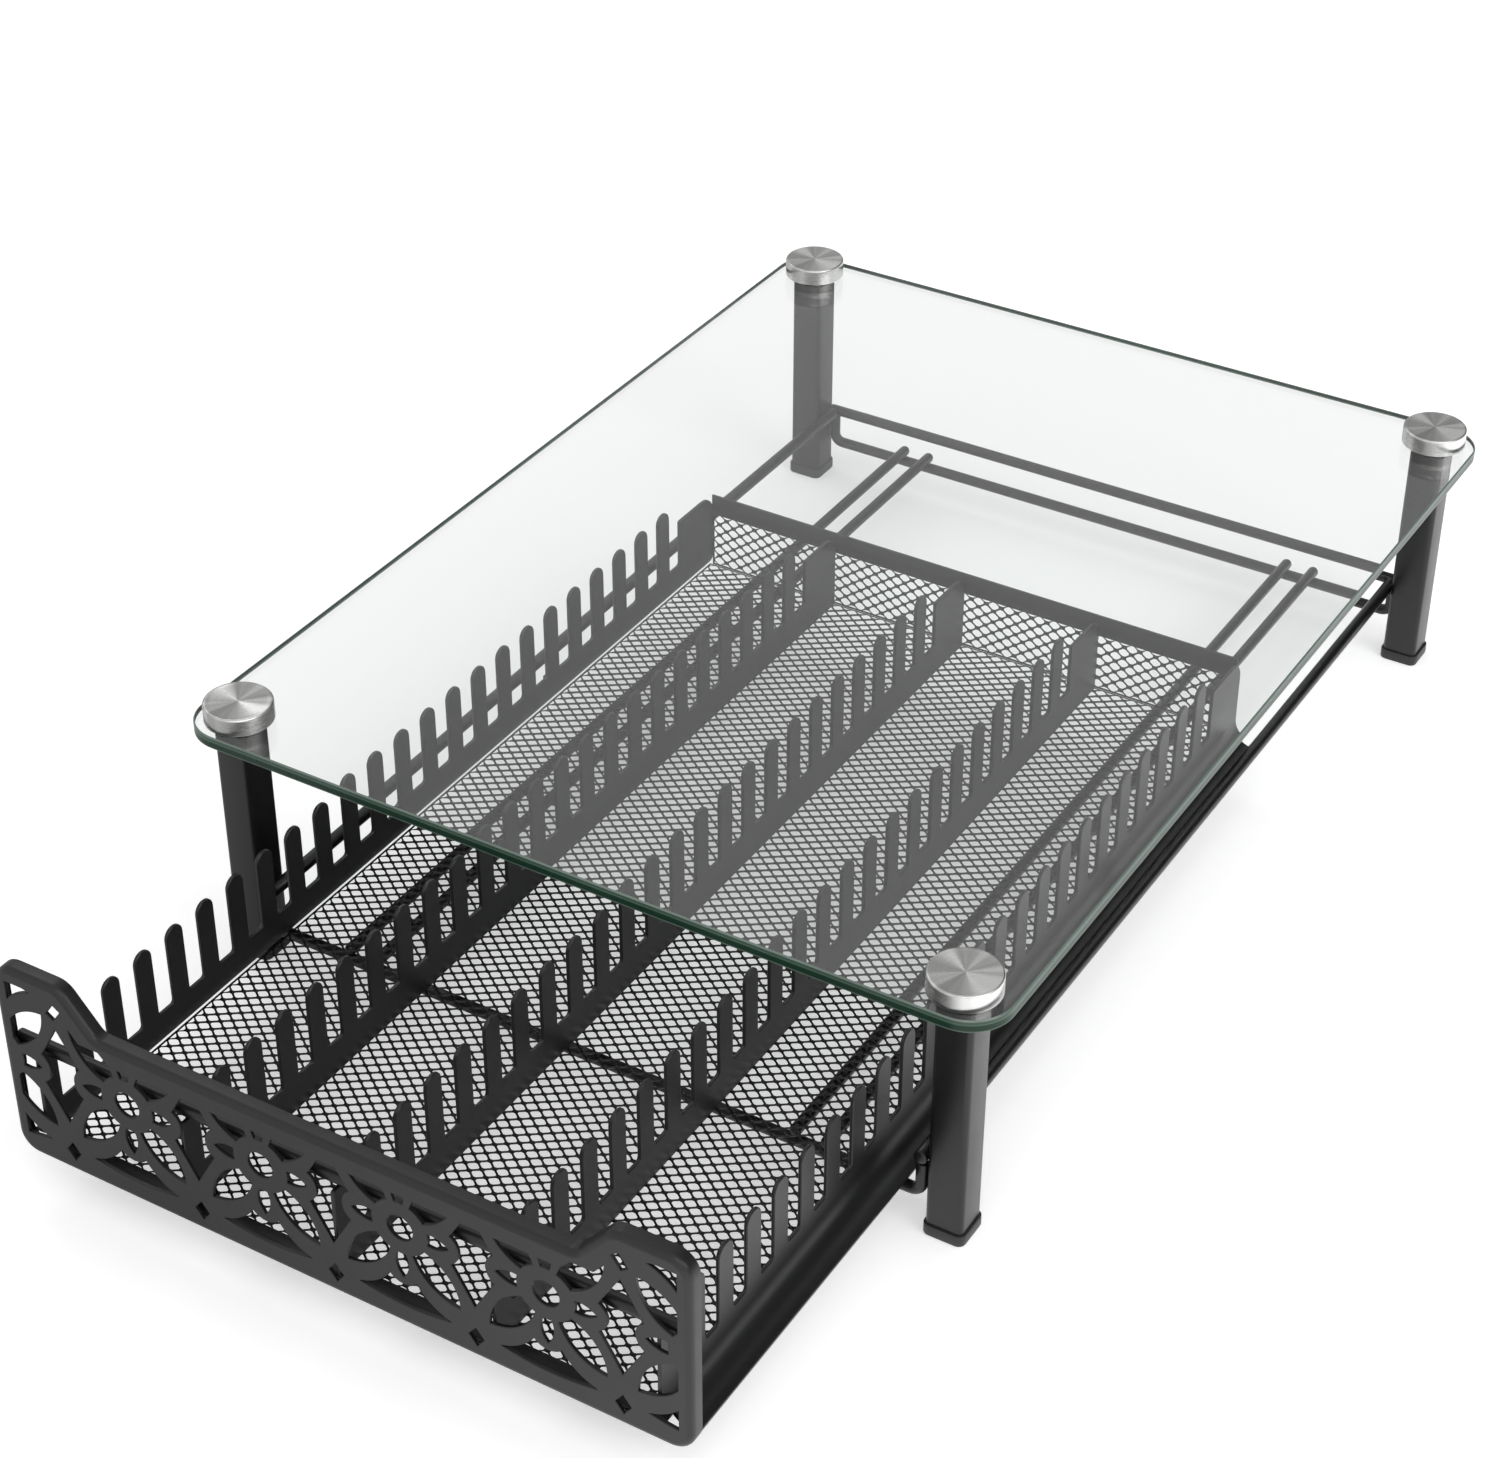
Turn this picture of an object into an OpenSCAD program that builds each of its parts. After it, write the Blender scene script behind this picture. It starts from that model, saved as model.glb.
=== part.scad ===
// Coffee pod drawer: a glass-topped wire stand with a sheet-metal drawer that slides out to the front.
// Origin: middle of the whole part's footprint, on the surface it stands on. X runs along the front,
// Y to the back, Z up. All sizes are in millimetres.

/* [Pod lanes] */
// Spacing of the lanes, from one comb wall to the next
lane_pitch = 59.4; // [56:0.1:66]
// Number of lanes side by side
lanes = 4; // [3:1:5]
// Spacing of the comb's fingers along a lane
finger_pitch = 16.2; // [14:0.1:20]
// Width of the slot between two fingers
slot_w = 7.8; // [5:0.1:9]
// Number of slots along a lane
slots = 24; // [16:1:28]
// Depth of a slot, from the fingertip down
slot_depth = 30.2; // [18:0.2:34]
// Height of the comb walls above the drawer floor
comb_h = 43.3; // [38:0.1:48]

/* [Drawer body] */
// Thickness of the comb walls
comb_t = 1.4; // [1:0.1:2]
// Inside radius of the bend that turns a side wall out into its flange
bend_r = 8; // [5:0.5:10]
// Flat lip of the flange beyond the bend
flange_lip = 2; // [1:0.5:6]
// Thickness of the mesh floor
floor_t = 1.2; // [0.8:0.1:2]
// Width of a mesh strand
strand_w = 2.2; // [1.5:0.1:3]
// Solid strip round the edge of the mesh
mesh_border = 4; // [3:0.5:6]
// Mesh diamonds across the floor
mesh_across = 9; // [6:1:9]
// Mesh diamonds along the floor
mesh_along = 15; // [10:1:16]
// Length of the front post of each comb
front_post_l = 8.6; // [7:0.1:12]
// Length of the solid block of each side wall behind the last slot
rear_block_l = 26.25; // [16:0.25:40]
// Height of the rear wall above the floor
rear_wall_h = 33.7; // [28:0.1:40]
// Height of the solid band along the top of the rear wall
rear_band_h = 9; // [5:0.5:12]
// Corner radius of the rear blocks
rear_corner_r = 8; // [4:0.5:12]

/* [Front panel] */
// Width of the panel
panel_w = 262; // [260:0.5:266]
// Height of the panel at its two ears
ear_h = 78.4; // [76:0.1:84]
// Height of the panel between the ears
panel_h = 63; // [60:0.5:66]
// Half of the low stretch between the ears
low_half_w = 90.5; // [88:0.5:93]
// Run of the slope from the low edge up to an ear
slope_run = 13; // [10:0.5:15]
// Sheet thickness of the panel
panel_t = 1.5; // [1:0.1:2]
// Depth of the rim turned back round the panel's edge
rim_depth = 6; // [5:0.1:7.5]
// Outer corner radius of the panel
panel_corner_r = 8; // [5:0.5:10]
// Radius where the slope meets the low edge
slope_foot_r = 5; // [2:0.5:8]
// Drop of the panel's lower edge below the drawer floor
panel_drop = 5.5; // [5:0.1:6]
// Diameter of the rod behind the panel
front_rod_d = 5; // [4:0.5:6]
// Height of that rod above the panel's lower edge
front_rod_h = 44.7; // [40:0.1:52]

/* [Cut-out ornament] */
// Spacing of the flowers
flower_pitch = 53.35; // [52:0.05:55]
// Number of whole flowers
flowers = 4; // [2:2:4]
// Height of the flowers' centres above the panel's lower edge
flower_h = 41.2; // [40:0.1:43]
// Radius of the hole in a flower's ring
ring_hole_r = 4.9; // [3:0.1:5.5]
// Width of a flower's ring
ring_band = 5.7; // [5:0.1:6.5]
// Half width of a large leaf
leaf_half_w = 5.1; // [3:0.1:5.5]
// Solid margin below the ornament
margin_low = 4.8; // [4.8:0.1:5.2]
// Solid margin at the panel's sides
margin_side = 4.9; // [4.9:0.1:6]
// Solid margin above the ornament between the ears
margin_top = 8.4; // [7:0.1:9]
// Solid margin above the ornament in the ears
margin_ear = 5.8; // [5.4:0.1:7]

/* [Stand wires] */
// Diameter of the side rails
rail_d = 5; // [4:0.5:6]
// Diameter of the other wires
wire_d = 4.5; // [3.5:0.5:5]
// Space between the cradle wires and the surface the part stands on
cradle_clear = 13; // [10:0.5:20]
// Bend radius of the cradle wires, on the wire's middle line
cradle_bend_r = 4; // [3:0.5:6]
// Distance of each guide pair from the middle of the stand
guide_x = 92; // [80:0.5:95]
// Spacing of the two rods of a guide pair
guide_gap = 12; // [8:0.5:16]
// Length of the guide rods beyond the cradle wires
guide_overhang = 2.5; // [1:0.5:3]
// Space between the drawer's flange and the rail above it
rail_lift = 6.7; // [5.5:0.1:12]
// Distance of the cradle wires and the stop bar outwards from the legs' middles
wire_offset = 4.5; // [2:0.5:4.5]

/* [Legs] */
// Width of a leg's square tube
leg_w = 14; // [14:0.5:20]
// Wall of the tube
leg_wall = 1.2; // [1:0.1:2]
// Corner radius of the tube
leg_r = 2; // [1.4:0.1:3]
// Height of the foot's plate
foot_h = 4.5; // [2:0.5:6]
// How far the foot's plate stands out from the tube
foot_lip = 0.8; // [0.4:0.1:1.5]
// Height of the plugs inside the tube
plug_h = 12; // [8:1:20]

/* [Top] */
// Thickness of the glass
glass_t = 5; // [4:0.5:8]
// Corner radius of the glass
glass_corner_r = 16; // [8:1:17]
// Distance from a leg's middle to the glass edge at its side
glass_side = 17; // [15:0.5:24]
// Distance from a leg's middle to the glass edge in front or behind
glass_end = 15; // [15:0.5:24]
// Diameter of the caps
cap_d = 25; // [20:0.5:28]
// Height of the caps
cap_h = 6; // [4:0.5:9]
// Diameter of the stud under each cap
stud_d = 6; // [5:0.5:6]
// Length of the stud below the glass
stud_l = 9; // [5:0.5:11]
// Thickness of the washers above and below the glass
washer_t = 1; // [0.5:0.1:2]

/* [Travel] */
// How far the drawer is pulled out
pull = 127; // [0:1:290]
// Farthest the drawer can be pulled out
pull_max = 295; // [291:1:320]
// Gap at the rear stop when the drawer is shut
stop_gap = 0.5; // [0.3:0.1:2]
// Length of a stop lug
lug_l = 8; // [5:0.5:12]
// Height of a stop lug
lug_h = 4.5; // [3:0.5:5]

/* [Clearances] */
// Gap beside round pieces that seat on each other
seat_gap = 0.3; // [0.2:0.05:0.5]
// Gap between the drawer's flange and the stand
side_gap = 1.7; // [0.8:0.1:3]
// Gap between the drawer's flange and the cradle wires under it
flange_gap = 2.8; // [2:0.1:3.5]
// Gap between the drawer's ears and the glass
top_gap = 1; // [0.5:0.1:3]
// Gap round a stud in its hole
stud_gap = 0.1; // [0.1:0.05:0.3]
// Gap round a stud in the glass
glass_hole_gap = 1; // [0.5:0.1:1.5]

/* [Hidden] */
$fn = 64;

// Heights, from the surface up
cradle_z = cradle_clear + wire_d / 2;
guide_z = cradle_z + wire_d + seat_gap;
floor_z = guide_z + wire_d / 2 + seat_gap;
floor_top = floor_z + floor_t;
panel_z = floor_z - panel_drop;
comb_top = floor_top + comb_h;
slot_z = comb_top - slot_depth;
rear_top = floor_top + rear_wall_h;
front_rod_z = panel_z + front_rod_h;
post_top = front_rod_z - front_rod_d / 2 - seat_gap;
flange_z = cradle_z + wire_d / 2 + flange_gap;
bend_z = flange_z + comb_t + bend_r;
rail_z = flange_z + comb_t + rail_lift + rail_d / 2;
glass_z = panel_z + ear_h + top_gap;
leg_top = glass_z - washer_t;
glass_top_z = glass_z + glass_t;

// Places across, from the middle line out
side_x = lanes * lane_pitch / 2;
side_out = side_x + comb_t / 2;
bend_x = side_out + bend_r;
flange_out = bend_x + flange_lip;
wire_x = flange_out + side_gap + wire_d / 2;
leg_in = wire_x + wire_d / 2 + seat_gap;
rail_x = leg_in - seat_gap - rail_d / 2;
leg_x = leg_in + leg_w / 2;
glass_w = 2 * (leg_x + glass_side);
bend_out_r = bend_r + comb_t;
floor_half_w = bend_x - sqrt(bend_out_r * bend_out_r - pow(bend_z - floor_top, 2)) - seat_gap;

// Places along, in the drawer from its face back
first_slot_y = panel_t + front_post_l;
last_slot_end = first_slot_y + (slots - 1) * finger_pitch + slot_w;
drawer_l = last_slot_end + rear_block_l;
finger_w = finger_pitch - slot_w;
front_rod_y = rim_depth;
flange_y = rim_depth + seat_gap;

// Places along, in the stand from its middle
leg_y = (drawer_l + stop_gap + wire_d / 2 - glass_end - wire_offset) / 2;
cradle_y = leg_y + wire_offset;
glass_d = 2 * (leg_y + glass_end);
lug_y = pull_max + seat_gap + glass_d / 2 - cradle_y + wire_d / 2;
stand_y = pull / 2;

// Leg and washer sizes that follow from others
leg_bore = leg_w - 2 * leg_wall;
washer_r = cap_d / 2 - 1.5;
leg_seat_r = leg_w / 2 - 0.5;
stud_r = stud_d / 2;

// Front panel outline, seen from the front with its lower edge at zero, and the radius at each corner,
// negative where the corner is hollow
ear_top_x = low_half_w + slope_run;
slope_angle = atan2(ear_h - panel_h, slope_run);
OUTLINE = [
    [-panel_w / 2, 0], [panel_w / 2, 0], [panel_w / 2, ear_h], [ear_top_x, ear_h],
    [low_half_w, panel_h], [-low_half_w, panel_h], [-ear_top_x, ear_h], [-panel_w / 2, ear_h]
];
CORNER_R = [
    panel_corner_r, panel_corner_r, panel_corner_r, panel_corner_r,
    -slope_foot_r, -slope_foot_r, panel_corner_r, panel_corner_r
];

// Parts of a flower, from its centre: ends of a large leaf, tip of a side leaf and of a drop
LEAF_IN = [3.5, 4.7];
LEAF_OUT = [21.2, 23.4];
side_leaf_in = 5.5;
side_leaf_tip = 18.2;
side_leaf_half_w = 2.5;
drop_in = 8;
drop_tip = 20.5;
drop_half_w = 2.4;
ring_out_r = ring_hole_r + ring_band;
HEM_OUT = [17.5, 30.8];
HEM_IN = [5, 21.2];
hem_bite = 1.5;
hem_sag = 2;
scallop_y = 17;
scallop_r = 6.6;
star_tip = 19.5;
STAR_SIDE = [8.6, 4.6];
star_bite_x = 11.8;
star_bite_r = 7;
diamond_drop = 32.2;
DIAMOND = [2.9, 3.9];
EAR_SLOT = [5.6, 3.3];
ear_slot_drop = 10.7;
slope_margin = 8;

frame_black = [0.16, 0.16, 0.17];
sheet_black = [0.2, 0.2, 0.21];
steel = [0.74, 0.74, 0.73];
rubber_grey = [0.3, 0.3, 0.3];
glass_green = [0.72, 0.84, 0.79, 0.45];

// ---- placing ----

module in_stand() translate([0, stand_y, 0]) children();

module in_drawer() translate([0, stand_y - glass_d / 2 - pull, 0]) children();

module at_leg(side, end) in_stand() translate([side * leg_x, end * leg_y, 0]) children();

module each_leg() for (side = [-1, 1], end = [-1, 1]) at_leg(side, end) children();

module along_x(length) translate([-length / 2, 0, 0]) rotate([0, 90, 0]) cylinder(d = wire_d, h = length);

module along_y(y0, y1, d) translate([0, y1, 0]) rotate([90, 0, 0]) cylinder(d = d, h = y1 - y0);

// A flat outline in X and Z, standing between two places in Y
module upright(y0, y1) translate([0, y1, 0]) rotate([90, 0, 0]) linear_extrude(y1 - y0) children();

// A flat outline in Y and Z, standing with its thickness centred on a place in X
module crosswise(x, t) translate([x - t / 2, 0, 0]) rotate([90, 0, 90]) linear_extrude(t) children();

module rounded_square(w, r) {
    union() {
        square([w - 2 * r, w], center = true);
        square([w, w - 2 * r], center = true);
        for (i = [-1, 1], j = [-1, 1]) translate([i, j] * (w / 2 - r)) circle(r);
    }
}

module rounded_plate(w, d, r, t) {
    linear_extrude(t) union() {
        square([w - 2 * r, d], center = true);
        square([w, d - 2 * r], center = true);
        for (i = [-1, 1], j = [-1, 1]) translate([i * (w / 2 - r), j * (d / 2 - r)]) circle(r);
    }
}

// ---- stand ----

module glass_top() {
    color(glass_green) in_stand() difference() {
        translate([0, 0, glass_z]) rounded_plate(glass_w, glass_d, glass_corner_r, glass_t);
        for (i = [-1, 1], j = [-1, 1]) translate([i * leg_x, j * leg_y, glass_z - 1])
            cylinder(r = stud_r + glass_hole_gap, h = glass_t + 2);
    }
}

// Turned cap with a broken edge, and the stud that passes through the glass into the leg
module cap_shape() {
    cap_z = glass_top_z + washer_t;
    edge = 0.8;
    color(steel) rotate_extrude() polygon([
        [0, glass_z - stud_l], [stud_r, glass_z - stud_l], [stud_r, cap_z], [cap_d / 2, cap_z],
        [cap_d / 2, cap_z + cap_h - edge], [cap_d / 2 - edge, cap_z + cap_h], [0, cap_z + cap_h]
    ]);
}

module cap_front_left() at_leg(-1, -1) cap_shape();
module cap_front_right() at_leg(1, -1) cap_shape();
module cap_rear_left() at_leg(-1, 1) cap_shape();
module cap_rear_right() at_leg(1, 1) cap_shape();

module washer(z, outer_r) translate([0, 0, z]) difference() {
    cylinder(r = outer_r, h = washer_t);
    translate([0, 0, -1]) cylinder(r = stud_r + glass_hole_gap, h = washer_t + 2);
}

module upper_washers() color(rubber_grey) each_leg() washer(glass_top_z, washer_r);

module lower_washers() color(rubber_grey) each_leg() washer(leg_top, leg_seat_r);

module leg_shape() {
    inner_r = max(leg_r - leg_wall, 0.4);
    color(frame_black) translate([0, 0, foot_h]) linear_extrude(leg_top - foot_h) difference() {
        rounded_square(leg_w, leg_r);
        rounded_square(leg_bore, inner_r);
    }
}

module leg_front_left() at_leg(-1, -1) leg_shape();
module leg_front_right() at_leg(1, -1) leg_shape();
module leg_rear_left() at_leg(-1, 1) leg_shape();
module leg_rear_right() at_leg(1, 1) leg_shape();

// Plug in the top of each leg that takes the stud
module leg_plugs() {
    plug_w = leg_bore - 2 * stud_gap;
    color(steel) each_leg() translate([0, 0, leg_top - plug_h]) difference() {
        linear_extrude(plug_h) rounded_square(plug_w, 1);
        translate([0, 0, -1]) cylinder(r = stud_r + stud_gap, h = plug_h + 2);
    }
}

// Moulded foot: a plate under the tube and a spigot inside it
module foot_shape() {
    color(frame_black) union() {
        linear_extrude(foot_h) rounded_square(leg_w + 2 * foot_lip, leg_r + foot_lip);
        linear_extrude(foot_h + plug_h) rounded_square(leg_bore - 2 * stud_gap, 1);
    }
}

module foot_front_left() at_leg(-1, -1) foot_shape();
module foot_front_right() at_leg(1, -1) foot_shape();
module foot_rear_left() at_leg(-1, 1) foot_shape();
module foot_rear_right() at_leg(1, 1) foot_shape();

// Rails inside the legs, above the drawer's flanges, from the front cradle wire to the stop bar
module side_rail(side) {
    front_end = -cradle_y - wire_d / 2;
    rear_end = cradle_y - wire_d / 2 - seat_gap;
    color(frame_black) in_stand() translate([side * rail_x, 0, rail_z]) along_y(front_end, rear_end, rail_d);
}

module side_rail_left() side_rail(-1);
module side_rail_right() side_rail(1);

// Wire under the drawer with both ends turned up beside the legs
module cradle_wire(end) {
    riser_top = rail_z - max(rail_d, wire_d) / 2 - seat_gap;
    straight = 2 * (wire_x - cradle_bend_r);
    color(frame_black) in_stand() translate([0, end * cradle_y, cradle_z]) union() {
        along_x(straight);
        for (side = [-1, 1]) {
            translate([side * straight / 2, 0, cradle_bend_r]) rotate([90, side > 0 ? 90 : 180, 0])
                rotate_extrude(angle = 90) translate([cradle_bend_r, 0]) circle(d = wire_d);
            translate([side * wire_x, 0, cradle_bend_r]) cylinder(d = wire_d, h = riser_top - cradle_z - cradle_bend_r);
        }
    }
}

module front_cradle_wire() cradle_wire(-1);
module rear_cradle_wire() cradle_wire(1);

// Bar between the rear legs that stops the drawer
module rear_stop_bar() {
    color(frame_black) in_stand() translate([0, cradle_y, rail_z]) along_x(2 * (leg_in - seat_gap));
}

// Straight rod with round ends
module guide_rod(side, place) {
    half_l = cradle_y + guide_overhang;
    x = side * (guide_x + place * guide_gap / 2);
    r = wire_d / 2;
    color(frame_black) in_stand() translate([x, 0, guide_z]) rotate([90, 0, 0]) rotate_extrude() union() {
        translate([0, r - half_l]) square([r, 2 * (half_l - r)]);
        for (end = [-1, 1]) intersection() {
            translate([0, end * (half_l - r)]) circle(r);
            translate([0, -half_l]) square([r, 2 * half_l]);
        }
    }
}

module guide_rod_left_outer() guide_rod(-1, 1);
module guide_rod_left_inner() guide_rod(-1, -1);
module guide_rod_right_inner() guide_rod(1, -1);
module guide_rod_right_outer() guide_rod(1, 1);

// ---- front panel ----

// Lens between two points: two arcs that bulge by half_w to each side
module lens(p, q, half_w) {
    half_l = norm(q - p) / 2;
    r = (half_l * half_l + half_w * half_w) / (2 * half_w);
    mid = (p + q) / 2;
    across = [p[1] - q[1], q[0] - p[0]] / norm(q - p);
    intersection() {
        translate(mid + across * (r - half_w)) circle(r);
        translate(mid - across * (r - half_w)) circle(r);
    }
}

// Opening below a flower: a shallow bow with a scallop under the drop
module hem_opening() {
    left = [-HEM_OUT[0], -HEM_OUT[1]];
    right = [HEM_OUT[0], -HEM_OUT[1]];
    left_in = [-HEM_IN[0], -HEM_IN[1]];
    right_in = [HEM_IN[0], -HEM_IN[1]];
    difference() {
        union() {
            polygon([left, right, right_in, left_in]);
            lens(left, right, hem_sag);
        }
        lens(left, left_in, hem_bite);
        lens(right, right_in, hem_bite);
        translate([0, -scallop_y]) circle(scallop_r);
    }
}

module flower() {
    circle(ring_hole_r);
    difference() {
        union() {
            for (i = [-1, 1], j = [-1, 1])
                lens([i * LEAF_IN[0], j * LEAF_IN[1]], [i * LEAF_OUT[0], j * LEAF_OUT[1]], leaf_half_w);
            for (i = [-1, 1]) {
                lens([i * side_leaf_in, 0], [i * side_leaf_tip, 0], side_leaf_half_w);
                lens([0, i * drop_in], [0, i * drop_tip], drop_half_w);
            }
        }
        circle(ring_out_r);
    }
    hem_opening();
    mirror([0, 1]) hem_opening();
}

// Four-pointed star between two flowers
module star() {
    difference() {
        polygon([
            [0, star_tip], STAR_SIDE, [STAR_SIDE[0], -STAR_SIDE[1]],
            [0, -star_tip], [-STAR_SIDE[0], -STAR_SIDE[1]], [-STAR_SIDE[0], STAR_SIDE[1]]
        ]);
        for (i = [-1, 1]) translate([i * star_bite_x, 0]) circle(star_bite_r);
    }
}

module diamond() polygon([[0, DIAMOND[1]], [DIAMOND[0], 0], [0, -DIAMOND[1]], [-DIAMOND[0], 0]]);

// Area that the ornament may open: the outline less its margins
module ornament_field() {
    half_w = panel_w / 2 - margin_side;
    low_z = panel_h - margin_top;
    ear_z = ear_h - margin_ear;
    shift = slope_margin / sin(slope_angle);
    bay_z = low_z + margin_top / 2;
    function slope_x(z) = low_half_w + (z - panel_h) / tan(slope_angle) + shift;
    right = [[slope_x(ear_z), ear_z], [slope_x(bay_z), bay_z], [low_half_w - 1, bay_z], [low_half_w - 5, low_z]];
    left = [for (i = [3:-1:0]) [-right[i][0], right[i][1]]];
    polygon(concat(
        [[-half_w, margin_low], [half_w, margin_low], [half_w, ear_z]], right, left, [[-half_w, ear_z]]
    ));
}

module ornament() {
    star_half = flowers / 2;
    intersection() {
        ornament_field();
        translate([0, flower_h]) union() {
            for (i = [-star_half - 1:star_half]) translate([(i + 0.5) * flower_pitch, 0]) flower();
            for (i = [-star_half:star_half]) translate([i * flower_pitch, 0]) {
                star();
                translate([0, -diamond_drop]) diamond();
            }
        }
    }
    for (side = [-1, 1]) translate([side * star_half * flower_pitch, ear_h - ear_slot_drop])
        rotate(-side * 55) square(EAR_SLOT, center = true);
}

// The outline brought in by an even inset, with its corners rounded
module panel_outline(inset) {
    count = len(OUTLINE);
    function corner(i) = OUTLINE[(i + count) % count];
    function edge(i) = corner(i + 1) - corner(i);
    function inward(i) = [-edge(i)[1], edge(i)[0]] / norm(edge(i));
    function centre(i) = corner(i) + CORNER_R[i] * (inward(i - 1) + inward(i)) / (1 + inward(i - 1) * inward(i));
    difference() {
        union() {
            polygon([for (i = [0:count - 1]) for (n = [inward(i - 1), inward(i)])
                centre(i) - n * (CORNER_R[i] - inset)]);
            for (i = [0:count - 1]) if (CORNER_R[i] > 0) translate(centre(i)) circle(CORNER_R[i] - inset);
        }
        for (i = [0:count - 1]) if (CORNER_R[i] < 0) translate(centre(i)) circle(inset - CORNER_R[i]);
    }
}

module front_panel() {
    color(sheet_black) in_drawer() translate([0, 0, panel_z]) mirror([0, 1, 0]) rotate([90, 0, 0]) difference() {
        linear_extrude(rim_depth) panel_outline(0);
        translate([0, 0, panel_t]) linear_extrude(rim_depth) panel_outline(panel_t);
        translate([0, 0, -0.5]) linear_extrude(panel_t + 1) ornament();
    }
}

// Rod behind the panel, between the rolled edges, on the front posts of the combs
module front_rod() {
    length = panel_w - 2 * panel_t;
    color(sheet_black) in_drawer() translate([-length / 2, front_rod_y, front_rod_z])
        rotate([0, 90, 0]) cylinder(d = front_rod_d, h = length);
}

// ---- drawer body ----

// Outline of a comb wall in Y and Z, from z0 up: front post, round-topped fingers, rear stretch
module comb_outline(z0, rear_end) {
    tip_r = finger_w / 2;
    tip_z = comb_top - tip_r;
    union() {
        translate([panel_t, z0]) square([rear_end - panel_t, slot_z - z0]);
        translate([panel_t, z0]) square([front_post_l, post_top - z0]);
        for (i = [1:slots - 1]) translate([first_slot_y + (i - 1) * finger_pitch + slot_w, 0]) {
            translate([0, z0]) square([finger_w, tip_z - z0]);
            translate([tip_r, tip_z]) circle(tip_r);
        }
    }
}

// Solid stretch behind the last slot, with its upper rear corner rounded
module rear_block(z0, rear_end) {
    r = rear_corner_r;
    union() {
        translate([last_slot_end, z0]) square([rear_end - last_slot_end, rear_top - r - z0]);
        translate([last_slot_end, z0]) square([rear_end - last_slot_end - r, rear_top - z0]);
        translate([rear_end - r, rear_top - r]) circle(r);
    }
}

// Side wall on the right: the comb, and below it the bend out into the flange
module side_comb() {
    color(sheet_black) in_drawer() union() {
        crosswise(side_x, comb_t) union() {
            comb_outline(bend_z, drawer_l);
            rear_block(bend_z, drawer_l);
        }
        upright(flange_y, drawer_l) union() {
            intersection() {
                translate([bend_x, bend_z]) difference() {
                    circle(bend_out_r);
                    circle(bend_r);
                }
                translate([bend_x - bend_out_r, bend_z - bend_out_r]) square(bend_out_r);
            }
            translate([bend_x, flange_z]) square([flange_lip, comb_t]);
        }
    }
}

module side_comb_left() mirror([1, 0, 0]) side_comb();
module side_comb_right() side_comb();

// Wall between two lanes, standing on the floor
module divider_comb(place) {
    rear_end = drawer_l - comb_t;
    color(sheet_black) in_drawer() crosswise(place * lane_pitch, comb_t) union() {
        comb_outline(floor_top, rear_end);
        rear_block(floor_top, rear_end);
    }
}

module divider_comb_left() divider_comb(-1);
module divider_comb_middle() divider_comb(0);
module divider_comb_right() divider_comb(1);

// Diamond net in a w by d sheet with a solid border: two sets of openings, set half a step apart
module diamond_net(w, d, border, across, along) {
    step_x = (w - 2 * border) / across;
    step_y = (d - 2 * border) / along;
    edge = norm([step_x, step_y]) / 2;
    reach = [step_x, step_y] * (0.5 - strand_w * edge / (step_x * step_y));
    difference() {
        square([w, d]);
        for (i = [0:across - 1], j = [0:along - 1])
            translate([border + (i + 0.5) * step_x, border + (j + 0.5) * step_y])
                polygon([[reach[0], 0], [0, reach[1]], [-reach[0], 0], [0, -reach[1]]]);
        for (i = [1:across - 1], j = [1:along - 1])
            translate([border + i * step_x, border + j * step_y])
                polygon([[reach[0], 0], [0, reach[1]], [-reach[0], 0], [0, -reach[1]]]);
    }
}

module drawer_floor() {
    color(sheet_black) in_drawer() translate([-floor_half_w, panel_t, floor_z]) linear_extrude(floor_t)
        diamond_net(2 * floor_half_w, drawer_l - panel_t, mesh_border, mesh_across, mesh_along);
}

// Rear wall between the side walls: mesh below, with a solid band along its top
module rear_wall() {
    w = 2 * side_x - comb_t;
    mesh_h = rear_wall_h - rear_band_h;
    color(sheet_black) in_drawer() translate([-w / 2, 0, floor_top]) upright(drawer_l - comb_t, drawer_l) union() {
        diamond_net(w, mesh_h, mesh_border, 2 * mesh_across, 2);
        translate([0, mesh_h]) square([w, rear_band_h]);
    }
}

// Lug on the flange that meets the front cradle wire when the drawer is right out
module stop_lug() {
    color(sheet_black) in_drawer() translate([bend_x, lug_y, flange_z + comb_t])
        cube([wire_x - bend_x, lug_l, lug_h]);
}

module stop_lug_left() mirror([1, 0, 0]) stop_lug();
module stop_lug_right() stop_lug();

glass_top();
cap_front_left();
cap_front_right();
cap_rear_left();
cap_rear_right();
upper_washers();
lower_washers();
leg_front_left();
leg_front_right();
leg_rear_left();
leg_rear_right();
leg_plugs();
foot_front_left();
foot_front_right();
foot_rear_left();
foot_rear_right();
side_rail_left();
side_rail_right();
front_cradle_wire();
rear_cradle_wire();
rear_stop_bar();
guide_rod_left_outer();
guide_rod_left_inner();
guide_rod_right_inner();
guide_rod_right_outer();
front_panel();
front_rod();
side_comb_left();
side_comb_right();
divider_comb_left();
divider_comb_middle();
divider_comb_right();
drawer_floor();
rear_wall();
stop_lug_left();
stop_lug_right();
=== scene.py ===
import math

import bmesh
import bpy
import numpy as np
from mathutils import Matrix, Vector
from mathutils.geometry import delaunay_2d_cdt


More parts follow.
